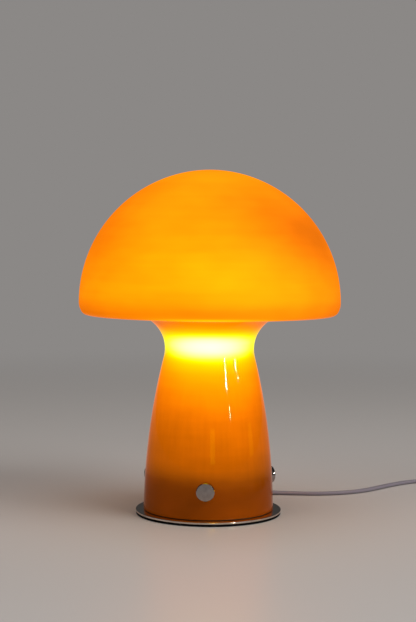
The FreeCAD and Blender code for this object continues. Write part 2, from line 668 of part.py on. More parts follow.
tilt = math.radians(dim["relief_tilt"].value)
cord_angle = math.radians(dim["cord_azimuth"].value)
outward = Vector(math.sin(cord_angle), -math.cos(cord_angle), 0)
across = UP.cross(outward)
relief_end = outward * dim["relief_end_reach"].value + UP * dim["relief_end_height"].value
crest_rise = (dim["relief_end_reach"].value - dim["cord_crest_reach"].value) * math.tan(tilt)
crest_height = dim["relief_end_height"].value + crest_rise
crest = outward * dim["cord_crest_reach"].value + UP * crest_height
past_end = relief_end + (relief_end - crest).normalize() * 2
relief_bore = swept("relief_bore", [Part.LineSegment(past_end, crest).toShape()], oblong_edges,
                    across, across)
relief_solid = fuse("relief_solid", relief_parts)
node("cord_relief", cut("cord_relief", relief_solid, [relief_bore]))

# ---------------------------------------------------------------- cord inside the lamp
# From the relief, over the clamp, up the riser; its two leads part above it and reach the terminals.
lead_split = dim["riser_top"].value + 0.5
inside_route = [relief_end, crest, UP * crest_height, UP * lead_split]
node("cord_inside", swept("cord_inside", rounded_route("cord_inside", inside_route), oblong_edges,
                          across, across))
lead_radius = dim["lead_radius"].value
spread = dim["lead_spacing"].value
terminal = dim["terminal_offset"].value
lead_end = dim["insert_bottom"].value - 1.6
for name, sign in (("lead_live", 1), ("lead_neutral", -1)):
    lead_route = [across * spread * sign + UP * lead_split, across * spread * sign + UP * (lead_split + 2.5),
                  Vector(-terminal * sign, 0, lead_end - 2.5), Vector(-terminal * sign, 0, lead_end)]
    node(name, swept(name, rounded_route(name, lead_route), round_section(lead_radius)))

# ---------------------------------------------------------------- cord clamp
# Block and saddle inside the pan, screwed down on the flat cord.
cord_half = dim["cord_thickness"] / 2
clamp_turn = Rotation(Vector(0, 0, 1), dim["cord_azimuth"].value - 90)
clamp_x = dim["clamp_reach"] * sine(dim["cord_azimuth"])
clamp_y = -(dim["clamp_reach"] * cosine(dim["cord_azimuth"]))
block_height = size(crest_height) - cord_half - plate_top


def clamp_bar(name, height, bottom):
    """Bar across the cord with a hole at each end for its screws."""
    bar = doc.addObject("Part::Box", name + "_bar")
    bind(bar, Length=dim["clamp_depth"], Width=dim["clamp_width"], Height=height)
    holes = []
    for sign in (-1, 1):
        hole = cylinder(f"{name}_hole_{sign + 1}", dim["clamp_screw_radius"] + 0.03, size(height) + 2.0)
        holes.append(place(hole, dim["clamp_depth"] / 2,
                           dim["clamp_width"] / 2 + dim["clamp_screw_offset"] * sign, -1.0))
    drilled = cut(name, bar, holes)
    shift = clamp_turn.multVec(Vector(dim["clamp_depth"].value / 2, dim["clamp_width"].value / 2, 0))
    return place(drilled, clamp_x - shift.x, clamp_y - shift.y, bottom, clamp_turn)


saddle_bottom = size(crest_height) + cord_half
node("clamp_block", clamp_bar("clamp_block", block_height, plate_top))
node("clamp_saddle", clamp_bar("clamp_saddle", dim["saddle_thickness"], saddle_bottom))
clamp_screws = []
saddle_top = saddle_bottom + dim["saddle_thickness"]
for sign in (-1, 1):
    offset = across * (dim["clamp_screw_offset"].value * sign)
    head = cylinder(f"clamp_screw_head_{sign + 1}", size(2.3), size(1.5))
    place(head, clamp_x + offset.x, clamp_y + offset.y, saddle_top)
    shank = cylinder(f"clamp_screw_shank_{sign + 1}", dim["clamp_screw_radius"], size(12))
    place(shank, clamp_x + offset.x, clamp_y + offset.y, saddle_top - 12.0)
    clamp_screws.append(fuse(f"clamp_screw_{sign + 1}", [head, shank]))
node("clamp_screws", group("clamp_screws", clamp_screws))

# ---------------------------------------------------------------- free cord, lamp to switch
# Out of the relief, down to the table, along it to the right as photographed, then round to the switch.
REST = 1.45
switch_face = Vector(dim["switch_x"].value, dim["switch_y"].value + dim["switch_length"].value / 2,
                     dim["switch_cord_height"].value)
cord_points = [
    relief_end, Vector(39.2, 68.0, 4.2), Vector(46.6, 73.2, 2.6), Vector(57.4, 75.6, 1.6),
    Vector(71.5, 74.2, REST), Vector(90.0, 73.0, REST), Vector(109.0, 77.0, REST), Vector(131.0, 86.5, REST),
    Vector(154.0, 109.0, REST), Vector(178.0, 128.0, REST), Vector(194.0, 136.5, REST),
    Vector(209.0, 137.8, REST), Vector(222.5, 131.5, REST), Vector(231.1, 119.2, 1.6),
    Vector(233.7, 104.4, 5.2), switch_face]
node("cord", swept("cord", rounded_route("cord", cord_points), oblong_edges, UP))

# ---------------------------------------------------------------- inline switch
# Two screwed shells, a rocker on a steel pin and brass terminals. The cord passes from end to end.
switch_x = dim["switch_x"]
switch_y = dim["switch_y"]
split = dim["switch_split"]
shell_wall = dim["switch_wall"]
post_places = [(dim["post_x"] * sign, dim["post_y"] * sign) for sign in (-1, 1)]


def switch_outline(inset):
    """Rounded oblong in plan, its length along Y, centred on the body's own origin."""
    half_width = dim["switch_width"] / 2 - inset
    half_length = dim["switch_length"] / 2 - inset
    radius = dim["switch_corner"] - inset
    inner_x = half_width - radius
    inner_y = half_length - radius
    return [(half_width, -inner_y), (half_width, inner_y, (radius, 1)), (inner_x, half_length),
            (-inner_x, half_length, (radius, 1)), (-half_width, inner_y),
            (-half_width, -inner_y, (radius, 1)), (-inner_x, -half_length),
            (inner_x, -half_length, (radius, 1))]


def round_edges(body, name, level, radius):
    """Round the edges of a body's last feature that lie at one level."""
    doc.recompute()
    feature = body.Group[-1]
    rim = []
    for index, edge in enumerate(feature.Shape.Edges, start=1):
        bounds = edge.BoundBox
        if abs(bounds.ZMin - level) < 1e-6 and abs(bounds.ZMax - level) < 1e-6:
            rim.append(f"Edge{index}")
    fillet = body.newObject("PartDesign::Fillet", name)
    fillet.Base = (feature, rim)
    bind(fillet, Radius=radius)


def posts(name, radius, height, bottom):
    """Cylinders at the two screw places of the switch."""
    pieces = []
    for index, (x, y) in enumerate(post_places):
        pieces.append(place(cylinder(f"{name}_{index}", radius, height), x, y, bottom))
    return pieces


screw_seat = size(0.4)
tray = padded("tray_blank", switch_outline(zero), split)
round_edges(tray, "tray_edge", 0.0, dim["tray_edge"])
tray_hollow = place(padded("tray_hollow", switch_outline(shell_wall), split), 0, 0, shell_wall)
tray_shell = cut("tray_shell", tray, [tray_hollow])
tray_posts = posts("tray_post", dim["post_radius"], split - shell_wall, shell_wall)
tray_body = fuse("tray_body", [tray_shell] + tray_posts)
head_holes = posts("tray_head_hole", size(2.2), shell_wall - screw_seat, zero)
shank_holes = posts("tray_shank_hole", dim["case_screw_radius"], split, zero)
tray_drilled = cut("tray_drilled", tray_body, head_holes + shank_holes)
node("switch_lower", place(tray_drilled, switch_x, switch_y, 0))

lid_height = dim["switch_height"] - split
lid_ceiling = lid_height - shell_wall
lid = padded("lid_blank", switch_outline(zero), lid_height)
round_edges(lid, "lid_edge", lid_height.value, dim["lid_edge"])
lid_hollow = padded("lid_hollow", switch_outline(shell_wall + 0.8), lid_ceiling)
lid_shell = cut("lid_shell", lid, [lid_hollow])
slot_width = dim["rocker_width"] + dim["rocker_gap"] * 2
slot_length = dim["rocker_length"] + dim["rocker_gap"] * 2
pivot_level = dim["rocker_pivot_height"] - split
boss_offset = slot_width / 2 + dim["boss_thickness"] / 2
boss_bottom = pivot_level - 1.8
bosses = [box(f"boss_{sign + 1}", dim["boss_thickness"], dim["boss_depth"], lid_ceiling - boss_bottom,
              boss_offset * sign, 0, boss_bottom) for sign in (-1, 1)]
lid_body = fuse("lid_body", [lid_shell] + bosses + posts("lid_post", dim["post_radius"], lid_ceiling, zero))
pivot_length = slot_width + dim["boss_thickness"] * 2
along_x = Rotation(Vector(0, 1, 0), 90)
pivot_hole = cylinder("pivot_hole", dim["pivot_radius"], pivot_length)
place(pivot_hole, -(pivot_length / 2), 0, pivot_level, along_x)
slot = box("rocker_slot", slot_width, slot_length, lid_height * 2)
screw_reach = lid_ceiling - 1.0
lid_drilled = cut("lid_drilled", lid_body, [slot, pivot_hole] + posts("lid_hole", dim["case_screw_radius"],
                                                                      screw_reach, zero))
node("switch_upper", place(lid_drilled, switch_x, switch_y, split))
node("switch_pivot", place(cylinder("switch_pivot", dim["pivot_radius"], pivot_length),
                           switch_x - pivot_length / 2, switch_y, dim["rocker_pivot_height"], along_x))
case_heads = posts("case_head", size(2.1), shell_wall - screw_seat - 0.2, zero)
case_shanks = posts("case_shank", dim["case_screw_radius"], split + screw_reach - shell_wall, zero)
case_screws = []
for index, (head, shank) in enumerate(zip(case_heads, case_shanks)):
    x, y = post_places[index]
    place(head, switch_x + x, switch_y + y, 0.2)
    place(shank, switch_x + x, switch_y + y, shell_wall - screw_seat)
    case_screws.append(fuse(f"case_screw_{index}", [head, shank]))
node("switch_screws", group("switch_screws", case_screws))

# The rocker's top is a shallow V: the end that stands up is the one to press.
half_rocker = dim["rocker_length"] / 2
rocker_end = size(5.2)
rocker_middle = size(3.6)
rocker_low = size(-3.2)
rocker_body = doc.addObject("PartDesign::Body", "rocker_blank")
rocker_sketch = outline(rocker_body, "XZ_Plane", [
    (-half_rocker, size(-1.5)), (-half_rocker + 2.5, rocker_low), (half_rocker - 2.5, rocker_low),
    (half_rocker, size(-1.5)), (half_rocker - 1.0, rocker_end), (zero, rocker_middle),
    (-half_rocker + 1.0, rocker_end)], "rocker_outline")
rocker_pad = rocker_body.newObject("PartDesign::Pad", "rocker_pad")
rocker_pad.Profile = rocker_sketch
rocker_pad.Midplane = True
bind(rocker_pad, Length=dim["rocker_width"])
rocker_bore = cylinder("rocker_bore", dim["pivot_radius"] + 0.05, dim["rocker_width"] * 2)
place(rocker_bore, 0, dim["rocker_width"], 0, Rotation(Vector(1, 0, 0), 90))
rocker_solid = cut("rocker_solid", rocker_body, [rocker_bore])
rocker_rest = Rotation(Vector(1, 0, 0), -dim["rocker_tilt"].value) * Rotation(Vector(0, 0, 1), 90)
node("switch_rocker", place(rocker_solid, switch_x, switch_y, dim["rocker_pivot_height"], rocker_rest))
terminals = []
for sign in (-1, 1):
    terminals.append(box(f"switch_terminal_{sign + 1}", size(7), size(8), size(3.5), switch_x,
                         switch_y + 14.0 * sign, shell_wall))
node("switch_terminals", group("switch_terminals", terminals))

# ---------------------------------------------------------------- coil of put-away cord
# Two layers of flat turns: in along the table, up a layer in the half turn where they turn back, out.
quarter = math.pi / 2
pitch = dim["coil_pitch"].value
coil_centre = Vector(dim["coil_x"].value, dim["coil_y"].value, 0)
quarters = int(dim["coil_quarters"].value)
low = dim["coil_layer_1"].value
high = dim["coil_layer_2"].value
coil_start = math.pi


def coil_state(angle, radius, height, growth, climb):
    """Point and direction on the coil, turning anticlockwise seen from above."""
    radial = Vector(math.cos(angle), math.sin(angle), 0)
    forward = Vector(-math.sin(angle), math.cos(angle), 0)
    along = forward * radius + radial * growth + UP * climb
    return coil_centre + radial * radius + UP * height, along.normalize()


coil_states = []
outer = dim["coil_outer_radius"].value
rate = pitch / (2 * math.pi)
for step in range(quarters + 1):
    coil_states.append(coil_state(coil_start + step * quarter, outer - pitch * step / 4, low, -rate, 0.0))
inner = outer - pitch * quarters / 4
turn_back = coil_start + (quarters + 1) * quarter
climb = 1.8 * (high - low) / math.pi
coil_states.append(coil_state(turn_back, inner - pitch / 3.2, (low + high) / 2, 0.0, climb))
for step in range(quarters + 1):
    angle = coil_start + (quarters + 2 + step) * quarter
    coil_states.append(coil_state(angle, inner + pitch * step / 4, high, rate, 0.0))


def arc_from(start, along, end):
    """Arc that leaves start in a given direction and reaches end."""
    chord = end - start
    unit = Vector(chord).normalize()
    angle = along.getAngle(unit)
    if angle < 1e-7:
        return Part.LineSegment(start, end).toShape()
    lean = (along - unit * along.dot(unit)).normalize()
    middle = (start + end) * 0.5 + lean * (chord.Length / 2 * math.tan(angle / 2))
    return Part.Arc(start, middle, end).toShape()


def biarc(first, second):
    """Two arcs that join two points with their directions."""
    (start, leave), (end, arrive) = first, second
    chord = end - start
    spare = 2 * (1 - leave.dot(arrive))
    along = chord.dot(leave + arrive)
    reach = (-along + math.sqrt(along * along + spare * chord.dot(chord))) / spare
    near = start + leave * reach
    far = end - arrive * reach
    middle = (near + far) * 0.5
    return [arc_from(start, leave, middle), arc_from(middle, (far - near).normalize(), end)]


def straight_end(state, distance):
    """Outer end of the coil's straight run, at a distance along the cord from one of its states."""
    point, along = state
    return point + along * distance


coil_in = straight_end(coil_states[0], -dim["cord_width"].value)
coil_out = straight_end(coil_states[-1], dim["cord_width"].value)
print("coil in", coil_in, "coil out", coil_out)
coil_edges = [Part.LineSegment(coil_in, coil_states[0][0]).toShape()]
for first, second in zip(coil_states, coil_states[1:]):
    coil_edges += biarc(first, second)
coil_edges.append(Part.LineSegment(coil_states[-1][0], coil_out).toShape())
node("cord_coil", swept("cord_coil", coil_edges, oblong_edges))


def least_gap():
    """Least gap between the coil's turns, on points of its centre line half a turn or more apart."""
    width = dim["cord_width"].value
    thickness = dim["cord_thickness"].value
    samples = []
    run = 0.0
    for edge in coil_edges:
        for point in edge.discretize(9)[:-1]:
            samples.append((run, point))
        run += edge.Length
    gap = 1e9
    for index, (distance, point) in enumerate(samples):
        for other_distance, other in samples[index + 1:]:
            if other_distance - distance > 60.0:
                apart = other - point
                beside = math.hypot(apart.x, apart.y) - width
                above = abs(apart.z) - thickness
                gap = min(gap, max(beside, above))
    return gap


print("coil's least gap to itself", round(least_gap(), 2))

# ---------------------------------------------------------------- tie round the coil
# Soft strap round all the turns at the coil's far side.
tie = dim["tie_thickness"]
tie_inner = size(inner - pitch / 2) - dim["cord_width"] / 2
tie_outer = dim["coil_outer_radius"] - pitch / 2 + dim["cord_width"] / 2 + 0.4
tie_middle = dim["coil_x"] + (tie_inner + tie_outer) / 2
tie_floor = size(0.05)
tie_height = dim["coil_layer_2"] + dim["cord_thickness"] / 2 + 0.6
strap = box("strap", tie_outer - tie_inner + tie * 2, dim["tie_width"], tie_height + tie, tie_middle,
            dim["coil_y"], tie_floor)
strap_hollow = box("strap_hollow", tie_outer - tie_inner, dim["tie_width"] * 2, tie_height - tie, tie_middle,
                   dim["coil_y"], tie_floor + tie)
node("coil_tie", cut("coil_tie", strap, [strap_hollow]))

# ---------------------------------------------------------------- cord from switch to coil, coil to plug
switch_back = Vector(dim["switch_x"].value, dim["switch_y"].value - dim["switch_length"].value / 2,
                     dim["switch_cord_height"].value)
to_coil = [switch_back, Vector(233.8, 15.0, 5.0), Vector(233.5, 2.0, 2.4), coil_in]
node("cord_to_coil", swept("cord_to_coil", rounded_route("cord_to_coil", to_coil), oblong_edges, UP))
plug_entry = Vector(dim["plug_x"].value, dim["plug_y"].value + dim["plug_relief_length"].value,
                    dim["plug_thickness"].value / 2 + dim["plug_clearance"].value)
to_plug = [coil_out, Vector(232.9, -32.0, 6.4), Vector(231.0, -44.0, 5.0), Vector(228.6, -56.0, 2.4),
           Vector(226.8, -68.0, 2.6), Vector(226.2, -80.0, 5.6), plug_entry]
node("cord_to_plug", swept("cord_to_plug", rounded_route("cord_to_plug", to_plug), oblong_edges, UP))

# ---------------------------------------------------------------- plug
# Flat two-pin plug moulded on the cord: body, tapered tail, nickelled pins with insulating sleeves.
plug_x = dim["plug_x"]
plug_y = dim["plug_y"]
plug_level = dim["plug_thickness"] / 2 + dim["plug_clearance"]
half_plug = dim["plug_width"] / 2
half_neck = dim["plug_neck_width"] / 2
plug_blank = padded("plug_blank", [
    (-half_neck, zero), (-half_neck, -dim["plug_shoulder"]), (-half_plug, -dim["plug_flare"]),
    (-half_plug, -dim["plug_length"]), (half_plug, -dim["plug_length"]), (half_plug, -dim["plug_flare"]),
    (half_neck, -dim["plug_shoulder"]), (half_neck, zero)], dim["plug_thickness"])
round_edges(plug_blank, "plug_top_edge", dim["plug_thickness"].value, dim["plug_edge"])
round_edges(plug_blank, "plug_bottom_edge", 0.0, dim["plug_edge"])
place(plug_blank, plug_x, plug_y, dim["plug_clearance"])
backwards = Rotation(Vector(1, 0, 0), -90)
forwards = Rotation(Vector(1, 0, 0), 90)
plug_tail = cone("plug_tail", dim["plug_relief_big"], dim["plug_relief_small"], dim["plug_relief_length"])
place(plug_tail, plug_x, plug_y, plug_level, backwards)
node("plug_body", fuse("plug_body", [plug_blank, plug_tail]))
pin = dim["pin_radius"]
core = dim["pin_core_radius"]
sleeve_end = dim["pin_sleeve_length"]
pins = []
sleeves = []
pin_y = plug_y - dim["plug_length"]
for index, sign in enumerate((-1, 1)):
    pin_x = plug_x + dim["pin_spacing"] / 2 * sign
    pin_solid = turned(f"pin_{index}", [
        (zero, zero), (core, zero), (core, sleeve_end), (pin, sleeve_end),
        (pin, dim["pin_length"] - dim["pin_tip"]), (pin - dim["pin_tip"], dim["pin_length"]),
        (zero, dim["pin_length"])])
    pins.append(place(pin_solid, pin_x, pin_y, plug_level, forwards))
    sleeve = ring(f"sleeve_{index}", core, dim["pin_sleeve_radius"], zero, sleeve_end)
    sleeves.append(place(sleeve, pin_x, pin_y, plug_level, forwards))
node("plug_pins", group("plug_pins", pins))
node("pin_sleeves", group("pin_sleeves", sleeves))

# ---------------------------------------------------------------- check and write
doc.recompute()
for item in doc.Objects:
    if "Invalid" in item.State or "Error" in item.State:
        raise RuntimeError(f"{item.Name} did not recompute: {item.State}")
os.makedirs("parts", exist_ok=True)
for part in nodes:
    shape = part.Shape
    if shape.isNull() or not shape.isValid():
        raise RuntimeError(f"{part.Label} has no valid shape")
    shape.exportStep(os.path.join("parts", part.Label + ".step"))
    print(part.Label, "solids", len(shape.Solids), "volume", round(shape.Volume, 1))
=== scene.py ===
"""Mushroom table lamp, dressed: glowing cased glass, steel base, screws, cord, switch and plug."""
import math

import bmesh
import bpy
import numpy as np
from mathutils import Matrix, Vector


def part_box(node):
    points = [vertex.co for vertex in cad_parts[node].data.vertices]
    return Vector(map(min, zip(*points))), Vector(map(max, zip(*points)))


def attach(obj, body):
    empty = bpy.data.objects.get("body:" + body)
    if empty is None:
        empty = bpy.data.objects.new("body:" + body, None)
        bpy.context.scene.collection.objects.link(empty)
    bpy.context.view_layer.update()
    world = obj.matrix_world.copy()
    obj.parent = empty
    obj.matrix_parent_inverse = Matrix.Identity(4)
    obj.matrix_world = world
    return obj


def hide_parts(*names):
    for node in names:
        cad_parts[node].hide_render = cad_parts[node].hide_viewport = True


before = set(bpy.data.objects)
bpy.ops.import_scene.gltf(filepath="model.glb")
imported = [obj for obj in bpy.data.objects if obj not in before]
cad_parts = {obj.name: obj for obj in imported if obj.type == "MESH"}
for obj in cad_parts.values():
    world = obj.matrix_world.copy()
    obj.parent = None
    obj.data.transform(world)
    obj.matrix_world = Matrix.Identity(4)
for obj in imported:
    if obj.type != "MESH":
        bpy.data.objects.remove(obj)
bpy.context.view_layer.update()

# ---------------------------------------------------------------- glass body
# Cap and stem are one blown piece of cased glass: an opal white layer inside, clear amber outside.
# It is fire polished, drilled for three screws and the cord, and lit by the bulb in its neck.
MM = 0.001
GLASS_WALL = 3.0 * MM
CAP_RADIUS = float(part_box("glass_body")[1][0])
FOOT_HEIGHT = float(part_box("glass_body")[0][2])
WIDEST_HEIGHT = 162.4 * MM
DOME_SIDE = 101.2 * MM
DOME_TOP = 96.0 * MM
RIM_SIDE = 13.6 * MM
RIM_CORNER = 5.5 * MM
RIM_TURN = math.radians(30.0)
NECK_FILLET = 26.0 * MM
STEM_ARC = 508.5 * MM
STEM_ARC_HEIGHT = -2.06 * MM
STEM_FOOT = 49.92 * MM
BEAD_LIFT = 0.4 * MM
GLASS_COLUMNS = 216
GLASS_SHARP = 60.0


def arc(centre, radius, start, end, steps):
    """Points (r, z) on a circle's arc between two angles in radians."""
    angles = np.linspace(start, end, steps)
    across, up = radius * np.cos(angles), radius * np.sin(angles)
    return np.stack([centre[0] + across, centre[1] + up], axis=1)


def glass_face(inset):
    """The glass's outline from crown to foot, inset from the outer face.

    Six arcs follow each other, each tangent to the next but for the cap's flat underside, which is
    the gap between the rim's corner and the neck's fillet: crown, side, rim, rim corner, neck
    fillet and stem.
    """
    side_centre = CAP_RADIUS - DOME_SIDE
    rise = math.sqrt((DOME_SIDE - DOME_TOP) ** 2 - side_centre ** 2)
    blend = math.atan2(rise, -side_centre)
    rim = CAP_RADIUS - RIM_SIDE
    step = RIM_SIDE - RIM_CORNER
    corner = (rim + step * math.cos(RIM_TURN), WIDEST_HEIGHT - step * math.sin(RIM_TURN))
    neck_height = corner[1] - RIM_CORNER - NECK_FILLET
    stem = STEM_FOOT - math.sqrt(STEM_ARC ** 2 - (FOOT_HEIGHT - STEM_ARC_HEIGHT) ** 2)
    lift = neck_height - STEM_ARC_HEIGHT
    neck = stem + math.sqrt((STEM_ARC + NECK_FILLET) ** 2 - lift ** 2)
    lean = math.atan2(lift, neck - stem)
    foot = math.asin((FOOT_HEIGHT - STEM_ARC_HEIGHT) / (STEM_ARC - inset))
    return np.concatenate([
        arc((0.0, WIDEST_HEIGHT + rise), DOME_TOP - inset, math.pi / 2, blend, 14),
        arc((side_centre, WIDEST_HEIGHT), DOME_SIDE - inset, blend, 0.0, 78)[1:],
        arc((rim, WIDEST_HEIGHT), RIM_SIDE - inset, 0.0, -RIM_TURN, 9)[1:],
        arc(corner, RIM_CORNER - inset, -RIM_TURN, -math.pi / 2, 12)[1:],
        arc((neck, neck_height), NECK_FILLET + inset, math.pi / 2, math.pi + lean, 44),
        arc((stem, STEM_ARC_HEIGHT), STEM_ARC - inset, lean, foot, 70)[1:]])


def grid_faces(rows, columns):
    """Quads between the rows of a grid whose columns close into a ring."""
    row, column = np.meshgrid(np.arange(rows - 1), np.arange(columns), indexing="ij")
    along = (column + 1) % columns
    here, below = row * columns, (row + 1) * columns
    corners = [here + column, here + along, below + along, below + column]
    return np.stack(corners, axis=-1).reshape(-1, 4)


def merge_and_turn_out(mesh):
    """Close poles and seams, then point every face outwards."""
    build = bmesh.new()
    build.from_mesh(mesh)
    bmesh.ops.remove_doubles(build, verts=build.verts, dist=1e-7)
    bmesh.ops.recalc_face_normals(build, faces=build.faces)
    build.to_mesh(mesh)
    build.free()


def new_mesh(name, points, faces, sharp=40.0):
    """Mesh object from points and faces: merged, turned out, and smooth up to a sharp angle."""
    mesh = bpy.data.meshes.new(name)
    mesh.from_pydata(np.asarray(points).reshape(-1, 3).tolist(), [], np.asarray(faces).tolist())
    piece = bpy.data.objects.new(name, mesh)
    bpy.context.scene.collection.objects.link(piece)
    merge_and_turn_out(mesh)
    mesh.shade_smooth()
    mesh.set_sharp_from_angle(angle=math.radians(sharp))
    return piece


def mesh_points(mesh):
    """All of a mesh's vertices as an array of points."""
    places = np.empty(len(mesh.vertices) * 3)
    mesh.vertices.foreach_get("co", places)
    return places.reshape(-1, 3)


def turned_points(profile, columns, matrix=None):
    """Each profile point (r, z) goes round the Z axis in equal steps: x = r sin a, y = -r cos a."""
    profile = np.asarray(profile, dtype=float)
    angles = np.linspace(0.0, 2 * math.pi, columns, endpoint=False)
    points = np.stack([profile[:, :1] * np.sin(angles), -profile[:, :1] * np.cos(angles),
                       np.repeat(profile[:, 1:], columns, axis=1)], axis=-1)
    if matrix is not None:
        points = points @ np.array(matrix.to_3x3()).T + np.array(matrix.translation)
    return points


def turned(name, profile, columns=96, matrix=None, sharp=40.0):
    """Solid of revolution from a half outline."""
    points = turned_points(profile, columns, matrix)
    return new_mesh(name, points, grid_faces(len(profile), columns), sharp)


def finish_piece(piece, body, slot, material, *replaced):
    """Dress a piece, tie it to its body and let it stand for its CAD nodes."""
    piece.data.materials.clear()
    piece.data.materials.append(material)
    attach(piece, body)
    if replaced:
        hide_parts(*replaced)


def colour(code):
    """Linear red, green, blue and 1 from an sRGB hex code."""
    parts = [int(code[i:i + 2], 16) / 255 for i in (1, 3, 5)]
    return [p / 12.92 if p <= 0.04045 else ((p + 0.055) / 1.055) ** 2.4 for p in parts] + [1.0]


def add(tree, kind, inputs=None, stops=None, **settings):
    """Add a node with its settings and colour stops, link or fill its inputs; gives its outputs."""
    made = tree.nodes.new("ShaderNode" + kind)
    for name, value in settings.items():
        setattr(made, name, value)
    for name, value in (inputs or {}).items():
        if isinstance(value, bpy.types.NodeSocket):
            tree.links.new(value, made.inputs[name])
        else:
            made.inputs[name].default_value = value
    if stops:
        band = made.color_ramp.elements
        while len(band) < len(stops):
            band.new(0.5)
        for element, (position, code) in zip(band, stops):
            element.position = position
            element.color = colour(code)
    return made.outputs


def new_material(name):
    """Material with an empty node tree; returns both."""
    material = bpy.data.materials.new(name)
    material.use_nodes = True
    material.node_tree.nodes.clear()
    return material, material.node_tree


# How bright the wall is lit, by height in mm: the amber turns yellow at 1 and nearly white at 4.
STEM_LEVELS = [
    (4, 0.010), (12, 0.011), (20, 0.0125), (26, 0.019), (31, 0.031), (35, 0.054), (40, 0.081),
    (50, 0.105), (60, 0.13), (70, 0.153), (80, 0.19), (90, 0.26), (100, 0.355), (105, 0.405),
    (110, 0.495), (115, 0.66), (118, 0.84), (121, 1.22), (124, 2.2), (127.5, 3.5), (131.5, 4.2),
    (136, 3.1), (139, 1.5), (142, 0.76), (145, 0.50), (148, 0.40), (151, 0.42), (154, 0.40)]
DOME_LEVELS = [
    (153, 0.375), (157, 0.33), (161, 0.35), (165, 0.425), (170, 0.465), (176, 0.48), (184, 0.48),
    (192, 0.47), (204, 0.45), (214, 0.435), (226, 0.44), (238, 0.48), (250, 0.54), (258, 0.67),
    (264, 0.66)]
# On the cap's flat underside, the stem's level gives way to the dome's over a ring, all in mm.
UNDERSIDE_LOW = 152.0
UNDERSIDE_HIGH = 153.5
RING_OUTER = 66.0
RING_WIDTH = 12.0
# Brighter and darker patches on the glow: azimuth, height, half widths in degrees and mm, change.
# The ones low on the stem are painted light on its right and painted shade on its left. The narrow
# one at 153.5 mm is a painted glint along the rim's lower corner at the front. The others lighten
# and darken the dome, fillet and stem.
LIGHT_AND_SHADE_PATCHES = [
    (55, 217, 30, 17, -0.33), (30, 236, 26, 12, -0.14), (-66, 214, 26, 22, -0.12),
    (58, 194, 26, 14, -0.14), (12, 186, 30, 14, 0.05), (-15, 168, 30, 9, -0.12),
    (12, 238, 18, 14, -0.10), (40, 204, 30, 12, -0.09), (42, 225, 22, 9, -0.10),
    (-30, 184, 22, 8, -0.10), (-60, 169, 20, 9, 0.13), (62, 172, 26, 13, 0.13),
    (0, 159, 34, 3, -0.08), (62, 207, 20, 11, -0.09), (-58, 156.5, 16, 1.5, -0.09),
    (48, 156, 18, 4, 0.08), (75, 190, 40, 60, 0.05), (45, 250, 30, 12, 0.05),
    (-74, 184, 16, 26, 0.08), (1, 153.5, 21, 1.0, 2.1), (-64, 148, 18, 5, -0.38),
    (66, 149, 17, 5, -0.32), (58, 102, 30, 16, 0.14), (-66, 104, 16, 20, 0.08),
    (38, 58, 36, 42, 0.24), (38, 22, 34, 18, 0.30), (-55, 18, 35, 14, -0.35),
    (35, 8, 32, 5, 0.80)]


def wall_light(points):
    """Light level on the wall: its height's level, times a bell-shaped change for each patch."""
    height = points[:, 2] / MM
    reach = np.hypot(points[:, 0], points[:, 1]) / MM
    azimuth = np.degrees(np.arctan2(points[:, 0], -points[:, 1]))
    stem = np.interp(height, *np.array(STEM_LEVELS).T)
    dome = np.interp(height, *np.array(DOME_LEVELS).T)
    inward = np.clip((RING_OUTER - reach) / RING_WIDTH, 0.0, 1.0)
    share = np.where(height < UNDERSIDE_LOW, 1.0, np.where(height < UNDERSIDE_HIGH, inward, 0.0))
    level = stem * share + dome * (1 - share)
    # Patches of painted light and painted shade brighten or dim the level where they lie.
    for centre, middle, wide, tall, change in LIGHT_AND_SHADE_PATCHES:
        turn = (azimuth - centre + 180.0) % 360.0 - 180.0
        level *= 1 + change * np.exp(-(turn / wide) ** 2 - ((height - middle) / tall) ** 2)
    return level


SCREW_YAW = -2.3
SCREW_SPACING = 120.0
SCREW_HEIGHT = 25.5 * MM
HOLE_RADIUS = 3.5 * MM
CORD_AZIMUTH = math.radians(150.0)
RELIEF_TILT = math.radians(12.0)
RELIEF_END_REACH = 70.8 * MM
RELIEF_END_HEIGHT = 5.7 * MM
CORD_HOLE_RADIUS = 4.15 * MM
DRILL_START = 40.0 * MM
DRILL_REACH = 22.0 * MM
DRILL_COLUMNS = 48


def outward_matrix(azimuth, reach, height, tilt=0.0):
    """Matrix that points a piece's +Z outwards at an azimuth from the front, dipped by a tilt."""
    turn = Matrix.Rotation(azimuth - math.pi / 2, 4, "Z")
    lean = Matrix.Rotation(math.pi / 2 + tilt, 4, "Y")
    place = (reach * math.sin(azimuth), -reach * math.cos(azimuth), height)
    return Matrix.Translation(place) @ (turn @ lean)


def glass_holes():
    """Cylinders where the screws and the cord go through the wall, as one cutting piece."""
    at_wall = RELIEF_END_HEIGHT + (RELIEF_END_REACH - DRILL_START) * math.tan(RELIEF_TILT)
    drills = [(math.radians(SCREW_YAW + SCREW_SPACING * index), SCREW_HEIGHT, 0.0, HOLE_RADIUS)
              for index in range(3)]
    drills.append((CORD_AZIMUTH, at_wall, RELIEF_TILT, CORD_HOLE_RADIUS))
    outlines = [[[0.0, 0.0], [radius, 0.0], [radius, DRILL_REACH], [0.0, DRILL_REACH]]
                for _, _, _, radius in drills]
    points = np.stack([
        turned_points(outline, DRILL_COLUMNS, outward_matrix(azimuth, DRILL_START, height, tilt))
        for outline, (azimuth, height, tilt, _) in zip(outlines, drills)])
    rows = len(outlines[0])
    faces = grid_faces(rows, DRILL_COLUMNS)
    faces = np.concatenate([faces + index * rows * DRILL_COLUMNS for index in range(len(drills))])
    return new_mesh("glass_holes", points, faces)


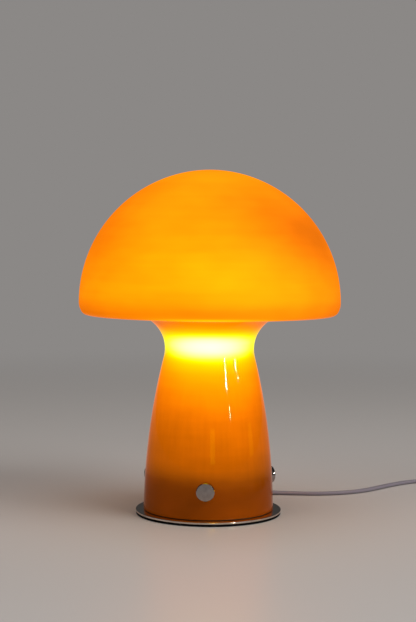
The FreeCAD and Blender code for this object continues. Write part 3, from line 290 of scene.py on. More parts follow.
outer = glass_face(0.0)
inner = glass_face(GLASS_WALL)
bead_centre = ((outer[-1, 0] + inner[-1, 0]) / 2, FOOT_HEIGHT + BEAD_LIFT)
rim_bead = arc(bead_centre, GLASS_WALL / 2, 0.0, -math.pi, 9)
rim_bead[:, 1] = np.maximum(rim_bead[:, 1], FOOT_HEIGHT)
glass_outline = np.concatenate([outer[:-1], rim_bead, inner[::-1][1:]])
glass = turned("glass_body", glass_outline, GLASS_COLUMNS, sharp=GLASS_SHARP)
cutter = glass_holes()
drill = glass.modifiers.new("drill", "BOOLEAN")
drill.operation = "DIFFERENCE"
drill.solver = "EXACT"
drill.object = cutter
evaluated = glass.evaluated_get(bpy.context.evaluated_depsgraph_get())
drilled = bpy.data.meshes.new_from_object(evaluated)
glass.modifiers.clear()
glass.data = drilled
bpy.data.objects.remove(cutter)
drilled.shade_smooth()
drilled.set_sharp_from_angle(angle=math.radians(GLASS_SHARP))
# The level is kept as a square root, so that the dim stem has as much of the ramp as the neck.
FULL_LEVEL = 4.0
level = np.sqrt(np.clip(wall_light(mesh_points(drilled)) / FULL_LEVEL, 0.0, 1.0))
light_level = drilled.attributes.new("light_level", "FLOAT", "POINT").data
light_level.foreach_set("value", level.astype(np.float32))

# Colour of the lit wall by that square root: brown, orange, amber, yellow, then nearly white.
GLOW_STOPS = [
    (0.0, "#000000"), (0.07, "#572700"), (0.106, "#7C3C00"), (0.137, "#9A4B00"),
    (0.167, "#B85900"), (0.195, "#D66900"), (0.215, "#E67200"), (0.24, "#F47F00"),
    (0.265, "#FF8E00"), (0.30, "#FFA100"), (0.354, "#FFBC00"), (0.42, "#FFDA00"),
    (0.50, "#FFFF00"), (0.60, "#FFFF50"), (0.72, "#FFFF98"), (0.866, "#FFFFD2"), (1.0, "#FFFFF2")]
GLASS_INDEX = 1.5
AMBER_PASSES = 0.16
# How strongly the casing dims what is seen edge on: less on the dim stem, more at the hot neck.
EDGE_LEVELS, EDGE_LOSSES = (0.12, 0.85), (0.60, 2.2)
MOTTLE_DEPTH = 0.16
STREAK_DEPTH = 0.08
# Each pattern's size in mm, its detail, and its stretch: under 1 draws it out along that axis.
GLASS_PATTERNS = {
    "mottle": (46.0, 2.0, (1.0, 1.0, 1.9)), "streaks": (9.0, 2.0, (0.12, 0.12, 1.6)),
    "drawn": (4.0, 2.0, (1.0, 1.0, 0.04)), "waves": (60.0, 1.0, (1.0, 1.0, 1.4))}
# The lines left by drawing the stem show up to 70 mm and are gone at 115 mm, where it is hot.
DRAWN_FROM, DRAWN_TO, DRAWN_DEPTH = 70.0 * MM, 115.0 * MM, 0.11
# The stem is glossy up to the cap's underside, and the cap satin from just above its rim's corner.
GLOSS_TO, SATIN_FROM = 152.2 * MM, 156.0 * MM
GLOSS_ROUGHNESS, SATIN_ROUGHNESS = 0.04, 0.85
WAVE_DEPTH = 0.35 * MM


def cased_glass():
    """Opal glass cased in amber: bright gloss on the stem, satin on the cap, lit from inside.

    Seen edge on, light crosses more of the amber casing and comes out dimmer and redder. The casing
    passes a sixth of the green light straight on, and the path through it grows as one over the
    cosine in the glass, which is the square root of 1 - (1 - c squared) / n squared for a cosine c
    outside and an index n.
    """
    material, tree = new_material("cased_opal_glass_fire_polished")
    where = add(tree, "TexCoord")["Object"]
    height = add(tree, "SeparateXYZ", {"Vector": where})["Z"]
    noise = {}
    for use, (size_mm, detail, stretch) in GLASS_PATTERNS.items():
        pulled = add(tree, "Mapping", {"Vector": where, "Scale": stretch})["Vector"]
        noise[use] = add(tree, "TexNoise", {
            "Vector": pulled, "Scale": 1.0 / (size_mm * MM), "Detail": detail})["Fac"]

    facing = add(tree, "LayerWeight", {"Blend": 0.5})["Facing"]
    cosine = add(tree, "Math", {0: 1.0, 1: facing}, operation="SUBTRACT")[0]
    squared = add(tree, "Math", {0: cosine, 1: cosine}, operation="MULTIPLY")[0]
    bend = 1.0 / GLASS_INDEX ** 2
    inside = add(tree, "Math", {0: squared, 1: bend, 2: 1.0 - bend}, operation="MULTIPLY_ADD")[0]
    path = add(tree, "Math", {0: inside}, operation="INVERSE_SQRT")[0]
    extra = add(tree, "Math", {0: path, 1: 1.0}, operation="SUBTRACT")[0]

    lit = add(tree, "Attribute", attribute_name="light_level")["Fac"]
    near_bulb = add(tree, "MapRange", {
        "Value": lit, "From Min": EDGE_LEVELS[0], "From Max": EDGE_LEVELS[1],
        "To Min": EDGE_LOSSES[0], "To Max": EDGE_LOSSES[1]})["Result"]
    held_back = add(tree, "Math", {0: extra, 1: near_bulb}, operation="MULTIPLY")[0]
    passed = add(tree, "Math", {0: AMBER_PASSES ** 0.5, 1: held_back}, operation="POWER")[0]

    swirl = add(tree, "Math", {0: noise["mottle"], 1: MOTTLE_DEPTH, 2: 1.0 - MOTTLE_DEPTH / 2},
                operation="MULTIPLY_ADD")[0]
    fine = add(tree, "Math", {0: noise["streaks"], 1: STREAK_DEPTH, 2: 1.0 - STREAK_DEPTH / 2},
               operation="MULTIPLY_ADD")[0]
    on_stem = add(tree, "MapRange", {
        "Value": height, "From Min": DRAWN_FROM, "From Max": DRAWN_TO,
        "To Min": DRAWN_DEPTH, "To Max": 0.0})["Result"]
    centred = add(tree, "Math", {0: noise["drawn"], 1: 0.5}, operation="SUBTRACT")[0]
    lines = add(tree, "Math", {0: centred, 1: on_stem, 2: 1.0}, operation="MULTIPLY_ADD")[0]
    bright = lit
    for share in (swirl, fine, lines, passed):
        bright = add(tree, "Math", {0: bright, 1: share}, operation="MULTIPLY")[0]

    shader = add(tree, "BsdfPrincipled", {
        "IOR": GLASS_INDEX, "Specular IOR Level": 0.045, "Emission Strength": 1.0,
        "Base Color": add(tree, "ValToRGB", {"Fac": noise["mottle"]},
                          [(0.35, "#652901"), (0.65, "#783203")])["Color"],
        "Emission Color": add(tree, "ValToRGB", {"Fac": bright}, GLOW_STOPS)["Color"],
        "Roughness": add(tree, "MapRange", {
            "Value": height, "From Min": GLOSS_TO, "From Max": SATIN_FROM,
            "To Min": GLOSS_ROUGHNESS, "To Max": SATIN_ROUGHNESS})["Result"],
        "Normal": add(tree, "Bump", {
            "Height": noise["waves"], "Distance": WAVE_DEPTH, "Strength": 1.0})["Normal"]})["BSDF"]
    add(tree, "OutputMaterial", {"Surface": shader})
    return material


finish_piece(glass, "lamp", "opal_glass", cased_glass(), "glass_body")

# ---------------------------------------------------------------- base pad
# Disc of closed-cell foam under the plate, so that the lamp doesn't slide or scratch. It is punched
# from a sheet and glued on.
pad_low, pad_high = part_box("base_pad")
PAD_ROUND = 0.3 * MM


def rounded(corners, steps=5):
    """Profile through corners (r, z, radius), each rounded by an arc that fits its two sides."""
    out = []
    for index, (r, z, radius) in enumerate(corners):
        here = np.array([r, z])
        if radius == 0 or index in (0, len(corners) - 1):
            out.append(here)
            continue
        back = np.array(corners[index - 1][:2]) - here
        ahead = np.array(corners[index + 1][:2]) - here
        back /= np.linalg.norm(back)
        ahead /= np.linalg.norm(ahead)
        half = math.acos(float(np.clip(back @ ahead, -1, 1))) / 2
        reach = radius / math.tan(half)
        middle = (back + ahead) / np.linalg.norm(back + ahead)
        centre = here + middle * radius / math.sin(half)
        first = here + back * reach - centre
        last = here + ahead * reach - centre
        for share in np.linspace(0.0, 1.0, steps):
            spoke = first * (1 - share) + last * share
            out.append(centre + spoke / np.linalg.norm(spoke) * radius)
    return np.array(out)


# Stretch of a pattern that is the same along all three axes.
EVEN = (1.0, 1.0, 1.0)


def mottled(name, plain, shades, pattern, dull=None, depth_mm=0.0, grain=None):
    """Finish that drifts between a dark and a pale shade, in the piece's own coordinates.

    plain holds the shader's values that are the same all over. A pattern is its size in mm, its
    detail and its stretch, which draws it out along an axis where it is under 1. dull is the
    roughness of the dark and of the pale patches. depth_mm is how deep the surface's grain is, and
    grain its pattern where that isn't the patches' own.
    """
    material, tree = new_material(name)
    where = add(tree, "TexCoord")["Object"]
    noises = []
    for size_mm, detail, stretch in [pattern] + ([grain] if grain else []):
        pulled = add(tree, "Mapping", {"Vector": where, "Scale": stretch})["Vector"]
        noises.append(add(tree, "TexNoise", {
            "Vector": pulled, "Scale": 1.0 / (size_mm * MM), "Detail": detail})["Fac"])
    patches, bumps = noises[0], noises[-1]
    stops = list(zip((0.3, 0.7), shades))
    finish = dict(plain)
    finish["Base Color"] = add(tree, "ValToRGB", {"Fac": patches}, stops)["Color"]
    if dull:
        finish["Roughness"] = add(tree, "MapRange", {
            "Value": patches, "To Min": dull[0], "To Max": dull[1]})["Result"]
    if depth_mm:
        finish["Normal"] = add(tree, "Bump", {
            "Height": bumps, "Distance": depth_mm * MM, "Strength": 1.0})["Normal"]
    add(tree, "OutputMaterial", {"Surface": add(tree, "BsdfPrincipled", finish)["BSDF"]})
    return material


pad = turned("base_pad", rounded([
    (0.0, pad_low[2], 0), (pad_high[0], pad_low[2], PAD_ROUND),
    (pad_high[0], pad_high[2], PAD_ROUND), (0.0, pad_high[2], 0)]), 160)
# EVA foam, die cut: black and matt, with cells of about 0.4 mm, drawn at 0.7 mm so that they show.
black_foam = mottled("eva_foam_die_cut", {"Roughness": 0.92, "Specular IOR Level": 0.12},
                     ("#040405", "#0D0D0F"), (0.7, 4.0, EVEN), depth_mm=0.25)
finish_piece(pad, "lamp", "foam_pad", black_foam, "base_pad")

# ---------------------------------------------------------------- base plate
# Disc of 1.5 mm stainless steel that carries the whole lamp. Its edge is broken, and it is ground
# in circles and then mirror polished.
plate_low, plate_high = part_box("base_plate")
EDGE_BREAK = 0.35 * MM
GRINDING_SPACING = 0.5 * MM
GRINDING_ARC = 0.004
GRINDING_DEPTH = 0.004 * MM
WIPE_SIZE = 14.0 * MM
plate = turned("base_plate", rounded([
    (0.0, plate_low[2], 0), (plate_high[0], plate_low[2], EDGE_BREAK),
    (plate_high[0], plate_high[2], EDGE_BREAK), (0.0, plate_high[2], 0)], 6), 200)


def polished_steel():
    """Stainless steel, mirror polished: bright, faintly warm, with fine circles left from grinding.

    The lines are noise read at the reach from the axis and at a small share of the turn round it.
    They are drawn 0.5 mm apart so that they show.
    """
    material, tree = new_material("stainless_steel_mirror_polished")
    where = add(tree, "TexCoord")["Object"]
    axes = add(tree, "SeparateXYZ", {"Vector": where})
    flat = add(tree, "VectorMath", {0: where, 1: (1.0, 1.0, 0.0)}, operation="MULTIPLY")["Vector"]
    reach = add(tree, "VectorMath", {0: flat}, operation="LENGTH")["Value"]
    turn = add(tree, "Math", {0: axes["X"], 1: axes["Y"]}, operation="ARCTAN2")[0]
    along = add(tree, "Math", {0: turn, 1: GRINDING_ARC}, operation="MULTIPLY")[0]
    circles = add(tree, "CombineXYZ", {"X": reach, "Y": along, "Z": axes["Z"]})[0]
    lines = add(tree, "TexNoise", {
        "Vector": circles, "Scale": 1.0 / GRINDING_SPACING, "Detail": 3.0})["Fac"]
    wiped = add(tree, "TexNoise", {"Vector": where, "Scale": 1.0 / WIPE_SIZE, "Detail": 4.0})["Fac"]
    stops = [(0.3, "#CFC5BC"), (0.7, "#E2D8D0")]
    shader = add(tree, "BsdfPrincipled", {
        "Metallic": 1.0,
        "Base Color": add(tree, "ValToRGB", {"Fac": wiped}, stops)["Color"],
        "Roughness": add(tree, "MapRange", {
            "Value": lines, "To Min": 0.06, "To Max": 0.14})["Result"],
        "Normal": add(tree, "Bump", {
            "Height": lines, "Distance": GRINDING_DEPTH, "Strength": 1.0})["Normal"]})["BSDF"]
    add(tree, "OutputMaterial", {"Surface": shader})
    return material


finish_piece(plate, "lamp", "polished_steel", polished_steel(), "base_plate")

# ---------------------------------------------------------------- rim gasket
# Thin black rubber ring that keeps the glass foot off the steel. It is moulded, and it lies loose
# in the gap, which shows as a dark line.
gasket_low, gasket_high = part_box("rim_gasket")
GASKET_INNER = 46.3 * MM
GASKET_ROUND = 0.15 * MM
gasket = turned("rim_gasket", rounded([
    (GASKET_INNER, gasket_high[2], 0), (GASKET_INNER, gasket_low[2], 0.1 * MM),
    (gasket_high[0], gasket_low[2], GASKET_ROUND), (gasket_high[0], gasket_high[2], GASKET_ROUND),
    (GASKET_INNER, gasket_high[2], 0)], 4), 160)
# EPDM rubber, moulded: black, with a soft sheen and a fine eggshell grain, drawn at 0.5 mm.
black_rubber = mottled("epdm_rubber_moulded", {"Roughness": 0.62, "Specular IOR Level": 0.3},
                       ("#0D0D0D", "#1A1A1A"), (0.5, 3.0, EVEN), depth_mm=0.05)
finish_piece(gasket, "lamp", "black_rubber", black_rubber, "rim_gasket")

# ---------------------------------------------------------------- thumbscrews and washers
# Three chromed brass screws with flat smooth heads, turned on a lathe. Each goes through a white
# nylon washer and the glass into a rivet nut in the pan.
HEAD_RADIUS = 6.8 * MM
HEAD_THICKNESS = 5.4 * MM
HEAD_CHAMFER = 0.45 * MM
UNDER_CHAMFER = 0.5 * MM
EDGE_ROUND = 0.12 * MM
SHANK_RADIUS = 2.5 * MM
SHANK_END = 34.5 * MM
SHANK_TIP = 1.0 * MM
TIP_CHAMFER = 0.6 * MM
PLAIN_SHANK = 1.5 * MM
WASHER_RADIUS = 6.3 * MM
WASHER_BORE = SHANK_RADIUS + 0.05 * MM
WASHER_ROUND = 0.2 * MM
WASHER_THICKNESS = 1.2 * MM
WASHER_SEAT = 49.55 * MM
THREAD_PITCH = 0.8 * MM
THREAD_DEPTH = 0.35 * MM


def screw_profile():
    """Half outline of a thumbscrew: threaded shank below z 0, chamfered head above it.

    The thread is a zigzag between the shank's radius and its root, one tooth for each pitch.
    """
    length = WASHER_SEAT + WASHER_THICKNESS - SHANK_END
    turns = int((length - PLAIN_SHANK) / THREAD_PITCH)
    crest = -length + SHANK_TIP + np.arange(turns) * THREAD_PITCH
    thread = np.stack([np.tile([SHANK_RADIUS, SHANK_RADIUS - THREAD_DEPTH], turns),
                       np.stack([crest, crest + THREAD_PITCH / 2], axis=1).ravel()], axis=1)
    head = rounded([
        (SHANK_RADIUS, -0.2 * MM, 0), (SHANK_RADIUS, 0.0, 0.05 * MM),
        (HEAD_RADIUS - UNDER_CHAMFER, 0.0, 0.1 * MM), (HEAD_RADIUS, UNDER_CHAMFER, EDGE_ROUND),
        (HEAD_RADIUS, HEAD_THICKNESS - HEAD_CHAMFER, EDGE_ROUND),
        (HEAD_RADIUS - HEAD_CHAMFER, HEAD_THICKNESS, EDGE_ROUND), (0.0, HEAD_THICKNESS, 0)], 4)
    tip = np.array([[0.0, -length], [SHANK_RADIUS - TIP_CHAMFER, -length]])
    return np.concatenate([tip, thread, head])


# Brass, turned and chrome plated: mirror bright, with a faint haze from handling.
chrome = mottled("brass_chrome_plated", {"Metallic": 1.0}, ("#938C8A", "#A39C9A"), (3.0, 3.0, EVEN),
                 dull=(0.05, 0.11))
# Natural nylon, moulded: milky off-white with a soft gloss.
nylon = mottled("nylon_moulded", {
    "Roughness": 0.4, "Subsurface Weight": 0.2, "Subsurface Scale": 1.0 * MM},
    ("#D9D4C8", "#E6E2D8"), (2.0, 2.0, EVEN))
washer_profile = rounded([
    (WASHER_BORE, 0.0, 0), (WASHER_RADIUS, 0.0, WASHER_ROUND),
    (WASHER_RADIUS, WASHER_THICKNESS, WASHER_ROUND), (WASHER_BORE, WASHER_THICKNESS, 0),
    (WASHER_BORE, 0.0, 0)], 4)
screws = []
for index, side in enumerate(("front", "right", "left")):
    azimuth = math.radians(SCREW_YAW + SCREW_SPACING * index)
    seat = outward_matrix(azimuth, WASHER_SEAT + WASHER_THICKNESS, SCREW_HEIGHT)
    screw = turned(f"thumbscrew_{side}", screw_profile(), 96, seat, 25.0)
    finish_piece(screw, f"thumbscrew_{side}", "chrome_screws", chrome, f"thumbscrew_{side}")
    screws.append(screw)
    seat = outward_matrix(azimuth, WASHER_SEAT, SCREW_HEIGHT)
    washer = turned(f"washer_{side}", washer_profile, 64, seat)
    finish_piece(washer, f"washer_{side}", "nylon", nylon, f"washer_{side}")

# ---------------------------------------------------------------- inner pan and its fixings
# Drawn steel pan that the glass drops over, galvanised, screwed to the plate and carrying the riser
# tube. The rivet nuts in its side take the thumbscrews. Screws, nuts, tube and washer are zinc
# plated steel.
SHARP_EDGE = math.radians(30.0)


def dress(names, material):
    """Give CAD pieces their finish: facets smoothed, edges sharper than 30 degrees kept."""
    for name in names:
        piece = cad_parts[name]
        piece.data.materials.clear()
        piece.data.materials.append(material)
        piece.data.shade_smooth()
        piece.modifiers.new("weld", "WELD").merge_threshold = 1e-6
        piece.modifiers.new("edges", "EDGE_SPLIT").split_angle = SHARP_EDGE


def galvanised():
    """Galvanised steel, drawn: grey zinc crystals about 5 mm across, some duller than others."""
    material, tree = new_material("galvanised_steel_drawn")
    where = add(tree, "TexCoord")["Object"]
    crystals = add(tree, "TexVoronoi", {"Vector": where, "Scale": 1.0 / (5.0 * MM)})["Color"]
    shade = add(tree, "SeparateColor", {"Color": crystals})["Red"]
    stops = [(0.1, "#8E9193"), (0.9, "#BBBEBF")]
    shader = add(tree, "BsdfPrincipled", {
        "Metallic": 1.0,
        "Base Color": add(tree, "ValToRGB", {"Fac": shade}, stops)["Color"],
        "Roughness": add(tree, "MapRange", {
            "Value": shade, "To Min": 0.48, "To Max": 0.3})["Result"]})["BSDF"]
    add(tree, "OutputMaterial", {"Surface": shader})
    return material


dress(["inner_pan"], galvanised())
# Steel, bright zinc plated: bluish silver with a cloudy passivated sheen.
zinc = mottled("steel_zinc_plated", {"Metallic": 1.0}, ("#A9ADB2", "#C9CCCF"), (1.6, 3.0, EVEN),
               dull=(0.2, 0.4))
dress(["pan_screws", "pan_nuts", "riser_tube", "tube_nut_lower", "tube_nut_upper", "lock_washer",
       "clamp_screws", "switch_screws", "switch_pivot", "bulb_contact"], zinc)

# ---------------------------------------------------------------- lampholder
# Small Edison holder, screwed on the riser tube. Its cup, sleeve and insert are moulded thermoset,
# and its shell, contact and terminal screws are brass.

# Urea thermoset, moulded: warm white, faintly marbled by the flow, eggshell gloss.
thermoset = mottled("urea_thermoset_moulded", {"Roughness": 0.38}, ("#DEDBD3", "#EAE8E1"),
                    (7.0, 3.0, (1.0, 1.0, 0.4)), depth_mm=0.01, grain=(0.6, 3.0, EVEN))
dress(["holder_cup", "holder_sleeve", "holder_insert", "clamp_block", "clamp_saddle"], thermoset)
# Stretch that draws a pattern out across Z, so that it makes rings round the lamp's axis.
AROUND = (0.05, 0.05, 1.0)
# Brass, pressed and turned: yellow metal with drawing lines round the axis and a slight tarnish.
brass = mottled("brass_pressed", {"Metallic": 1.0}, ("#B8924A", "#DDBE77"), (2.5, 4.0, EVEN),
                dull=(0.35, 0.2), depth_mm=0.01, grain=(0.5, 2.0, AROUND))
dress(["screw_shell", "centre_contact", "terminal_screws", "switch_terminals"], brass)

# ---------------------------------------------------------------- bulb
# Golf-ball LED bulb that screws into the holder: nickelled cap, black glass insulator, white
# housing, a board of chips, and a frosted globe snapped over them.

# PBT, moulded: cool white, satin, with the fine texture of the mould drawn at 0.7 mm.
pbt = mottled("pbt_moulded", {"Roughness": 0.45}, ("#E8E7E4", "#F1F0ED"), (0.7, 3.0, EVEN),
              depth_mm=0.02)
dress(["bulb_housing", "light_board"], pbt)
# Nickel-plated brass, rolled: soft bright metal with the rolling's fine rings.
nickel = mottled("brass_nickel_plated", {"Metallic": 1.0, "Roughness": 0.24},
                 ("#C2BDB4", "#D6D2CA"), (0.5, 2.0, AROUND), depth_mm=0.01)
dress(["bulb_cap", "plug_pins"], nickel)
# Vitrite, fused: black glass with a smooth gloss and slow flow lines.
vitrite = mottled("vitrite_fused", {"Roughness": 0.12}, ("#0C0C0F", "#1B1B20"), (2.0, 3.0, EVEN))
dress(["bulb_insulator"], vitrite)
# Phosphor, cast over the chips: yellow gel, lit warm white.
phosphor = mottled("phosphor_cast", {
    "Roughness": 0.5, "Emission Color": colour("#FFD9A0"), "Emission Strength": 2.0},
    ("#E8C65A", "#F2D677"), (0.8, 3.0, EVEN))
dress(["light_chips"], phosphor)
# Opal polycarbonate, blown: frosted white, lit evenly from inside.
opal_globe = mottled("opal_polycarbonate_blown", {
    "Roughness": 0.5, "Emission Color": colour("#FFE6C4"), "Emission Strength": 1.0},
    ("#F2EFE9", "#FAF8F4"), (8.0, 3.0, EVEN))
dress(["bulb_globe"], opal_globe)

# ---------------------------------------------------------------- cord relief
# Clear soft PVC relief, moulded on the cord and pushed into the hole in the glass from outside: a
# barrel in the hole, a flange against the glass, and a tapered tail with ribs that lets the cord
# bend gently.
RELIEF_TAIL = 19.5 * MM
RELIEF_BARREL = 8.5 * MM
BARREL_RADIUS = 4.0 * MM
FLANGE_RADIUS = 5.4 * MM
FLANGE_THICKNESS = 1.2 * MM
TAIL_ROOT = 4.35 * MM
TAIL_TIP = 3.35 * MM
TAIL_LIP = 0.4 * MM
BORE_RADIUS = 1.2 * MM
TAIL_RIBS = 5
RIB_HEIGHT = 0.32 * MM
RIB_PHASE = 1.2


def relief_outline():
    """Half outline from the barrel's inner end to the tail's tip; the ribs are a clipped sine."""
    share = np.linspace(0.0, 1.0, 60)
    ribs = RIB_HEIGHT * np.clip(np.sin(share * TAIL_RIBS * 2 * math.pi - RIB_PHASE), -0.4, 0.6)
    ribs *= np.clip(share * 8, 0, 1) * np.clip((1 - share) * 8, 0, 1)
    taper = TAIL_ROOT + (TAIL_TIP - TAIL_ROOT) * share + ribs
    tail = np.stack([taper, FLANGE_THICKNESS + share * (RELIEF_TAIL - FLANGE_THICKNESS)], axis=1)
    root = rounded([
        (BORE_RADIUS, -RELIEF_BARREL, 0), (BARREL_RADIUS, -RELIEF_BARREL, 0.5 * MM),
        (BARREL_RADIUS, -0.01 * MM, 0), (FLANGE_RADIUS, 0.0, 0.2 * MM),
        (FLANGE_RADIUS, FLANGE_THICKNESS, 0.4 * MM), (tail[0, 0], FLANGE_THICKNESS, 0.2 * MM),
        (tail[1, 0], tail[1, 1], 0)])
    tip = np.array([[tail[-1, 0] - TAIL_LIP, RELIEF_TAIL], [BORE_RADIUS, RELIEF_TAIL]])
    return np.concatenate([root[:-1], tail[1:-1], tip])


# Soft PVC, moulded: cloudy, greyish and see-through, glossy where the mould was polished.
soft_pvc = mottled("soft_pvc_moulded", {
    "IOR": 1.53, "Roughness": 0.16, "Transmission Weight": 0.35, "Subsurface Weight": 0.2,
    "Subsurface Scale": 1.5 * MM}, ("#BDBAC0", "#D0CDD2"), (3.0, 3.0, EVEN))
relief_root_reach = RELIEF_END_REACH - RELIEF_TAIL * math.cos(RELIEF_TILT)
relief_root_height = RELIEF_END_HEIGHT + RELIEF_TAIL * math.sin(RELIEF_TILT)
relief_place = outward_matrix(CORD_AZIMUTH, relief_root_reach, relief_root_height, RELIEF_TILT)
relief = turned("cord_relief", relief_outline(), 48, relief_place, 50.0)
finish_piece(relief, "lamp", "clear_tail", soft_pvc, "cord_relief")

# ---------------------------------------------------------------- cord
# Flat clear twin flex: two tinned copper cores side by side in extruded clear PVC. It lies across
# the table to the switch, and what isn't needed is wound into a tied coil beside the plug.
CORD_WIDTH = 5.4 * MM
CORD_THICKNESS = 2.8 * MM
COIL_CENTRE = (0.2737, -0.016)
COIL_RADIUS = 0.040
COIL_PITCH = 0.0061
COIL_LEVELS = (0.0020, 0.0064)
COIL_QUARTERS = 13
CLIMB_QUARTERS = 2
CLIMB_INSET = COIL_PITCH / 3.2
POINTS_PER_TURN = 16
RELIEF_END = (0.0354, 0.061315, 0.0057)
SWITCH_BACK = (0.2337, 0.0274, 0.0060)
UP = np.array([0.0, 0.0, 1.0])
# Routes in metres, as in the CAD but for the three points that follow the photograph.
to_switch = [
    RELIEF_END, (0.0392, 0.0680, 0.0042), (0.0466, 0.0732, 0.0026), (0.0574, 0.0756, 0.0016),
    (0.0715, 0.0742, 0.00145), (0.0900, 0.0730, 0.00145), (0.1090, 0.0770, 0.00145),
    (0.1310, 0.0885, 0.00145), (0.1540, 0.1150, 0.00145), (0.1780, 0.1360, 0.00145),
    (0.1940, 0.1365, 0.00145), (0.2090, 0.1378, 0.00145), (0.2225, 0.1315, 0.00145),
    (0.2311, 0.1192, 0.0016), (0.2337, 0.1044, 0.0052), (0.2337, 0.0894, 0.0060)]
before_coil = [SWITCH_BACK, (0.2338, 0.0150, 0.0050), (0.2335, 0.0020, 0.0024)]
after_coil = [
    (0.2329, -0.0320, 0.0064), (0.2310, -0.0440, 0.0050), (0.2286, -0.0560, 0.0024),
    (0.2268, -0.0680, 0.0026), (0.2262, -0.0800, 0.0056), (0.2260, -0.0920, 0.0069)]


def coil_points():
    """Flat coil from its -X side: spiral in, climb in half a turn, spiral out one layer up.

    The control points stand out a little, so that the smooth line runs at the turn's own radius: a
    quadratic spline round points a step apart keeps 3/4 + 1/4 cos(step) of their radius.
    """
    quarters = np.arange(0.0, 2 * COIL_QUARTERS + CLIMB_QUARTERS + 0.001, 4.0 / POINTS_PER_TURN)
    climb_end = COIL_QUARTERS + CLIMB_QUARTERS
    innermost = COIL_RADIUS - COIL_PITCH * COIL_QUARTERS / 4
    inward = COIL_RADIUS - COIL_PITCH * quarters / 4
    outward = innermost + COIL_PITCH * (quarters - climb_end) / 4
    radius = np.where(quarters > climb_end, outward, innermost)
    radius = np.where(quarters < COIL_QUARTERS, inward, radius)
    climb = np.clip((quarters - COIL_QUARTERS) / CLIMB_QUARTERS, 0.0, 1.0)
    radius = radius - CLIMB_INSET * np.sin(math.pi * climb)
    radius = radius / (0.75 + 0.25 * math.cos(2 * math.pi / POINTS_PER_TURN))
    height = COIL_LEVELS[0] + (COIL_LEVELS[1] - COIL_LEVELS[0]) * climb ** 2 * (3 - 2 * climb)
    angle = math.pi + quarters * math.pi / 2
    return list(zip(COIL_CENTRE[0] + radius * np.cos(angle),
                    COIL_CENTRE[1] + radius * np.sin(angle), height))


def smooth_line(name, route):
    """Points along a cord: a quadratic NURBS spline that has the route as its control points."""
    data = bpy.data.curves.new(name, "CURVE")
    data.dimensions = "3D"
    spline = data.splines.new("NURBS")
    spline.points.add(len(route) - 1)
    weighted = np.concatenate([np.array(route, dtype=float), np.ones((len(route), 1))], axis=1)
    spline.points.foreach_set("co", weighted.ravel())
    spline.order_u = 3
    spline.use_endpoint_u = True
    spline.resolution_u = 8
    holder = bpy.data.objects.new(name, data)
    bpy.context.scene.collection.objects.link(holder)
    bpy.context.view_layer.update()
    line = bpy.data.meshes.new_from_object(holder)
    places = mesh_points(line)
    bpy.data.objects.remove(holder)
    bpy.data.meshes.remove(line)
    return places


LOBE_SQUARENESS = 2.4
GROOVE_DEPTH = 0.12
GROOVE_WIDTH = 0.28


def flat_cord(name, line):
    """Twin flex along a line: a flat section with a shallow groove down each face, kept level.

    Two round lobes stand apart: the section's width is a circle's, pushed outwards by a squared-off
    cosine, and its height is a circle's, less a bell-shaped dip at the middle.
    """
    forward = np.gradient(line, axis=0)
    forward /= np.linalg.norm(forward, axis=1)[:, None]
    across = np.cross(forward, UP)
    across /= np.linalg.norm(across, axis=1)[:, None]
    upward = np.cross(across, forward)
    turn = np.linspace(0.0, 2 * math.pi, 28, endpoint=False)
    half = CORD_THICKNESS / 2
    spread = CORD_WIDTH / 2 - half
    apart = np.tanh(LOBE_SQUARENESS * np.cos(turn)) / math.tanh(LOBE_SQUARENESS)
    wide = spread * apart + half * np.cos(turn)
    dip = GROOVE_DEPTH * np.exp(-(wide / (GROOVE_WIDTH * CORD_WIDTH / 2)) ** 2)
    tall = half * np.sin(turn) * (1 - dip)
    sideways = across[:, None] * wide[None, :, None]
    upwards = upward[:, None] * tall[None, :, None]
    rings = line[:, None] + sideways + upwards
    start = np.repeat(line[:1, None], len(turn), axis=1)
    end = np.repeat(line[-1:, None], len(turn), axis=1)
    points = np.concatenate([start, rings, end])
    piece = new_mesh(name, points, grid_faces(len(points), len(turn)), 50.0)
    lay_across(piece.data, line, across, upward)
    return piece


BLOCK = 2000


def lay_across(mesh, line, across, upward):
    """Write each point's run along the cord and its offset across and up, in mm, as an attribute.

    They are measured from the nearest point of the line, found for a block of points at a time.
    """
    run = np.concatenate([[0.0], np.cumsum(np.linalg.norm(np.diff(line, axis=0), axis=1))])
    places = mesh_points(mesh)
    nearest = np.empty(len(places), dtype=int)
    for start in range(0, len(places), BLOCK):
        gaps = places[start:start + BLOCK, None] - line[None]
        nearest[start:start + BLOCK] = np.argmin((gaps ** 2).sum(axis=2), axis=1)
    away = places - line[nearest]
    offsets = [(away * direction[nearest]).sum(axis=1) for direction in (across, upward)]
    lay = np.stack([run[nearest]] + offsets, axis=1) / MM
    written = mesh.attributes.new("lay", "FLOAT_VECTOR", "POINT").data
    written.foreach_set("vector", lay.astype(np.float32).ravel())


CORE_OFFSET_MM = 1.3
CORE_SHARPNESS = 2.2
# Phase of the strands' twist, in radians for each millimetre along and across the cord.
TWIST_ALONG = 2.6
TWIST_ACROSS = 3.2


